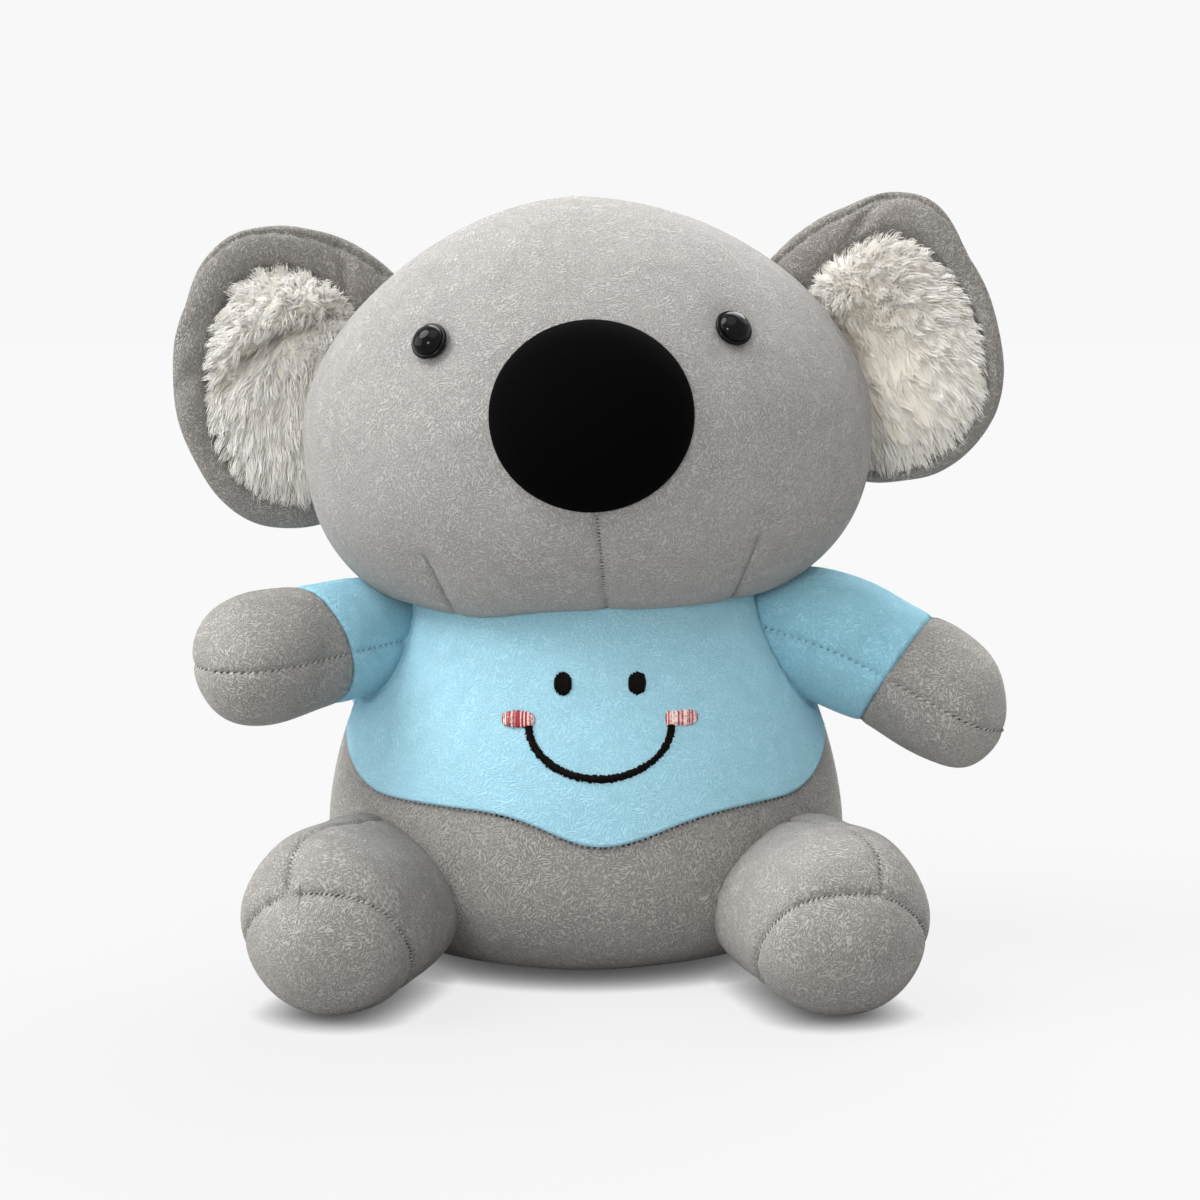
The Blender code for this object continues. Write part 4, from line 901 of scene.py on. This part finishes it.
around, quarter = ringAngles(arm["columns"]), arm["columns"] // 4
for side, word in sides.items():
    pose, curve = armPose[side], armShape(side)[1]
    run = runAlong(curve)
    cuffAt = np.interp(pose["cuff"] + pose["cuffTilt"] * np.cos(around), curve[:, 0], run)  # length to the cuff
    sleeve = alongCurve(curve, cuffAt * np.linspace(0, 1, arm["sleeveRows"])[:, None])
    paw = alongCurve(curve, cuffAt + (run[-1] - cuffAt) * np.linspace(0, 1, arm["pawRows"])[:, None])
    cuff = sleeve[-1]
    caps = [np.stack([cuff[:, 0] + by, cuff[:, 1] * share], -1)[None] for by, share in arm["caps"]]
    sleeve, paw = np.concatenate([sleeve, *caps[:3]]), np.concatenate([*caps[3:], paw])
    for rows, pole in ((sleeve, -1), (paw, 0)):
        rows[pole, :, 0] = rows[pole, :, 0].mean()
    cuffPath = closedPath(armPlaced(side, cuff[None], around)[0])
    for kind, rows, body, cloth, slotName, nodes in (
            ("sleeve", sleeve, slice(0, arm["sleeveRows"]), shadedSleeveCloth, "blue_plush",
             (f"sleeve_upper_{word}", f"sleeve_lower_{word}")),
            ("paw", paw, slice(3, None), pawCloth, "grey_plush",
             (f"paw_upper_{word}", f"paw_lower_{word}", f"arm_stuffing_{word}"))):
        rows[[0, -1], :, 1] = 0
        grid = armPlaced(side, rows, around)
        seams = [grid[body, quarter][::2], grid[body, 3 * quarter][::2], cuffPath]
        grid, fields = pressSeams(grid, seams, arm, body)
        fields["seamPlain"] = (fields["seamRun"] >= 2 * seamStep).astype(float)  # the cuff shows no holes
        dress(closedSkin(f"{kind}_skin_{word}", grid, cloth, fields), f"arm_{word}", slotName, *nodes, fill=0.8)
print("arms are made")


leg = {"ball": 0.0250, "root": (0.060, -0.040, 0.0283), "length": 0.0660, "shares": (0.32, 0.63, 0.86),
       "radii": (0.0272, 0.0288, 0.0230), "splay": 24, "columns": 170, "rows": 112,
       "solePlace": 0.0526, "soleTilt": 36, "soleYaw": 0.18, "floorRounding": 0.002,
       # the outer and the inner hip's swell, where they lie round the thigh in degrees, and how far they reach
       "hipUp": 0.0062, "hipIn": 0.0052, "hipTurn": (58, -40), "hipLong": 0.050,
       "seamFrom": 30, "seamTurn": (2, 9),  # the upper seam's first row, and its columns outwards there and at the sole
       "valley": 0.0009, "pillow": 0.0010, "pillowHalf": 0.004, "lump": 0.0006, "lumpSize": 0.025, "lumpSeed": 61}
around, half = ringAngles(leg["columns"]), leg["columns"] // 2
for side, word in sides.items():
    limb, long = limbFrame(side, leg["root"], direction(side * leg["splay"], 0)), leg["length"]
    curve = meridian(leg, long)
    rows = alongCurve(curve, np.linspace(0, runAlong(curve)[-1], leg["rows"])[:, None] + 0 * around)
    rows[0, :, 1] = rows[-1, :, 1] = 0
    local = spun(rows, around, 0, long)
    # the thigh stands up at the outside of the hip and draws in at its inner top: bumps that fade along the limb
    hip = np.clip(1 - rows[..., 0] / leg["hipLong"], 0, 1) * np.minimum(rows[..., 1] / leg["ball"], 1)
    outer, inner = (np.clip(np.cos(around + side * math.radians(turned)), 0, 1) ** 2 for turned in leg["hipTurn"])
    swell = (leg["hipUp"] * outer - leg["hipIn"] * inner) * hip
    local[..., 0] += np.cos(around) * swell
    local[..., 1] += np.sin(around) * swell
    # in front of the sole's plane, which leans back and turns a little to the toy's middle
    tilt = math.radians(leg["soleTilt"])
    past = (local[..., 2] - leg["solePlace"]) * math.cos(tilt) - local[..., 0] * math.sin(tilt)
    past += side * leg["soleYaw"] * local[..., 1]
    first, column = np.argmax(past > 0, axis=0), np.arange(leg["columns"])
    f = past[first, column] / (past[first, column] - past[first - 1, column])
    soleRing = local[first, column] * (1 - f[:, None]) + local[first - 1, column] * f[:, None]
    grid, start = placed(local, limb), leg["seamFrom"]
    topRows = np.arange(start, first[-side * leg["seamTurn"][1] % leg["columns"]])
    topColumns = np.interp(topRows, (start, topRows[-1] + 1), leg["seamTurn"])
    topColumns = np.round(-side * topColumns).astype(int) % leg["columns"]
    seams = [grid[topRows, topColumns][::2], grid[start:first[half], half][::2], placed(closedPath(soleRing), limb)]
    grid, fields = pressSeams(grid, seams, leg)
    grid[..., 2] = softMax(grid[..., 2], 0.0, leg["floorRounding"])
    piece = closedSkin(f"leg_skin_{word}", grid, legCloth, fields)
    dress(piece, f"leg_{word}", "grey_plush", f"leg_stuffing_{word}", f"leg_outer_{word}", f"leg_inner_{word}",
          f"sole_{word}", fill=0.8)
print("legs are made")


motif = {"middle": 0.0045, "smileHalf": 0.0222, "smileTop": 0.0851, "smileDrop": 0.0159, "stroke": 0.0025,
         "raise": 0.0009, "dotSpacing": 0.0231, "dotHeight": 0.0979, "dot": (0.0028, 0.0035),
         "cheekSpacing": 0.0508, "cheekHeight": 0.0869, "cheek": (0.0052, 0.0025), "strand": 0.00036,
         # how ragged the strands' ends are, and how deep each form is set into the cloth
         "bandRag": 0.00018, "ovalRag": 0.00028, "bandSunk": 0.0001, "ovalSunk": 0.0004}


# points off the front of the top: over (x, z), standing out by a rise
def onShirt(x, z, rise):
    return frontPoint(torso, x, z) + frontNormal(torso, x, z) * rise[..., None]


# a satin band along a path of (x, z): a low rounded ridge, each strand's end a little in or out
def satinBand(name, x, z, half, material):
    ends = np.random.default_rng(71).normal(size=(2, 4000)) * motif["bandRag"]
    dx, dz = np.gradient(x), np.gradient(z)
    size = np.hypot(dx, dz)
    run = np.cumsum(size)
    number = np.floor(run / motif["strand"]).astype(int)
    section = ringAngles(20)
    reach = half + np.where(np.cos(section) > 0, ends[0][number][:, None], ends[1][number][:, None])
    off, rise = reach * np.cos(section), motif["raise"] * np.maximum(np.sin(section), -0.5)
    px, pz = x[:, None] - (dz / size)[:, None] * off, z[:, None] + (dx / size)[:, None] * off
    grid = onShirt(px, pz, rise - motif["bandSunk"])
    tips = [row.mean(1, keepdims=True) + 0 * row for row in (grid[:1], grid[-1:])]
    strand = (run / motif["strand"])[:, None] + 0 * section
    strand = np.concatenate([strand[:1], strand, strand[-1:]])
    return closedSkin(name, np.concatenate([tips[0], grid, tips[1]]), material, {"strand": strand})


# a stitched oval: a low cushion whose edge steps in and out with each upright strand
def satinOval(name, centre, half, power, material, seed):
    a = ringAngles(120)
    lean = np.concatenate([np.linspace(0, 1, 16), np.linspace(1, 0, 6)[1:]])[:, None]
    ox, oz = (np.sign(part) * np.abs(part) ** (2 / power) * reach for part, reach in zip((np.cos(a), np.sin(a)), half))
    step = np.random.default_rng(seed).normal(size=400)[np.floor(ox / motif["strand"]).astype(int) + 100]
    oz = oz + step * motif["ovalRag"] * np.sin(a)
    px, pz = centre[0] + lean * ox, centre[1] + lean * oz
    top = motif["raise"] * np.sqrt(np.maximum(1 - lean**3, 0))
    rise = np.where(np.arange(len(lean))[:, None] < 16, top, -motif["ovalSunk"])
    return closedSkin(name, onShirt(px, pz, rise + 0 * a), material, {"strand": px / motif["strand"]})


turn = np.linspace(0, math.pi, 420)
smileX = motif["middle"] - motif["smileHalf"] * np.cos(turn)
smileZ = motif["smileTop"] - motif["smileDrop"] * np.sin(turn)
smile = satinBand("smile_stitches", smileX, smileZ, motif["stroke"] / 2, darkThread)
dress(smile, "torso", "dark_thread", "embroidered_smile")
for side, word in sides.items():
    for kind, power, thread, slotName, seed in (("dot", 2.4, darkThread, "dark_thread", 81),
                                                ("cheek", 3.2, coralThread, "coral_thread", 91)):
        centre = motif["middle"] + side * motif[kind + "Spacing"] / 2, motif[kind + "Height"]
        oval = satinOval(f"{kind}_stitches_{word}", centre, motif[kind], power, thread, seed + side)
        dress(oval, "torso", slotName, f"embroidered_{kind}_{word}")
print("embroidery is made")
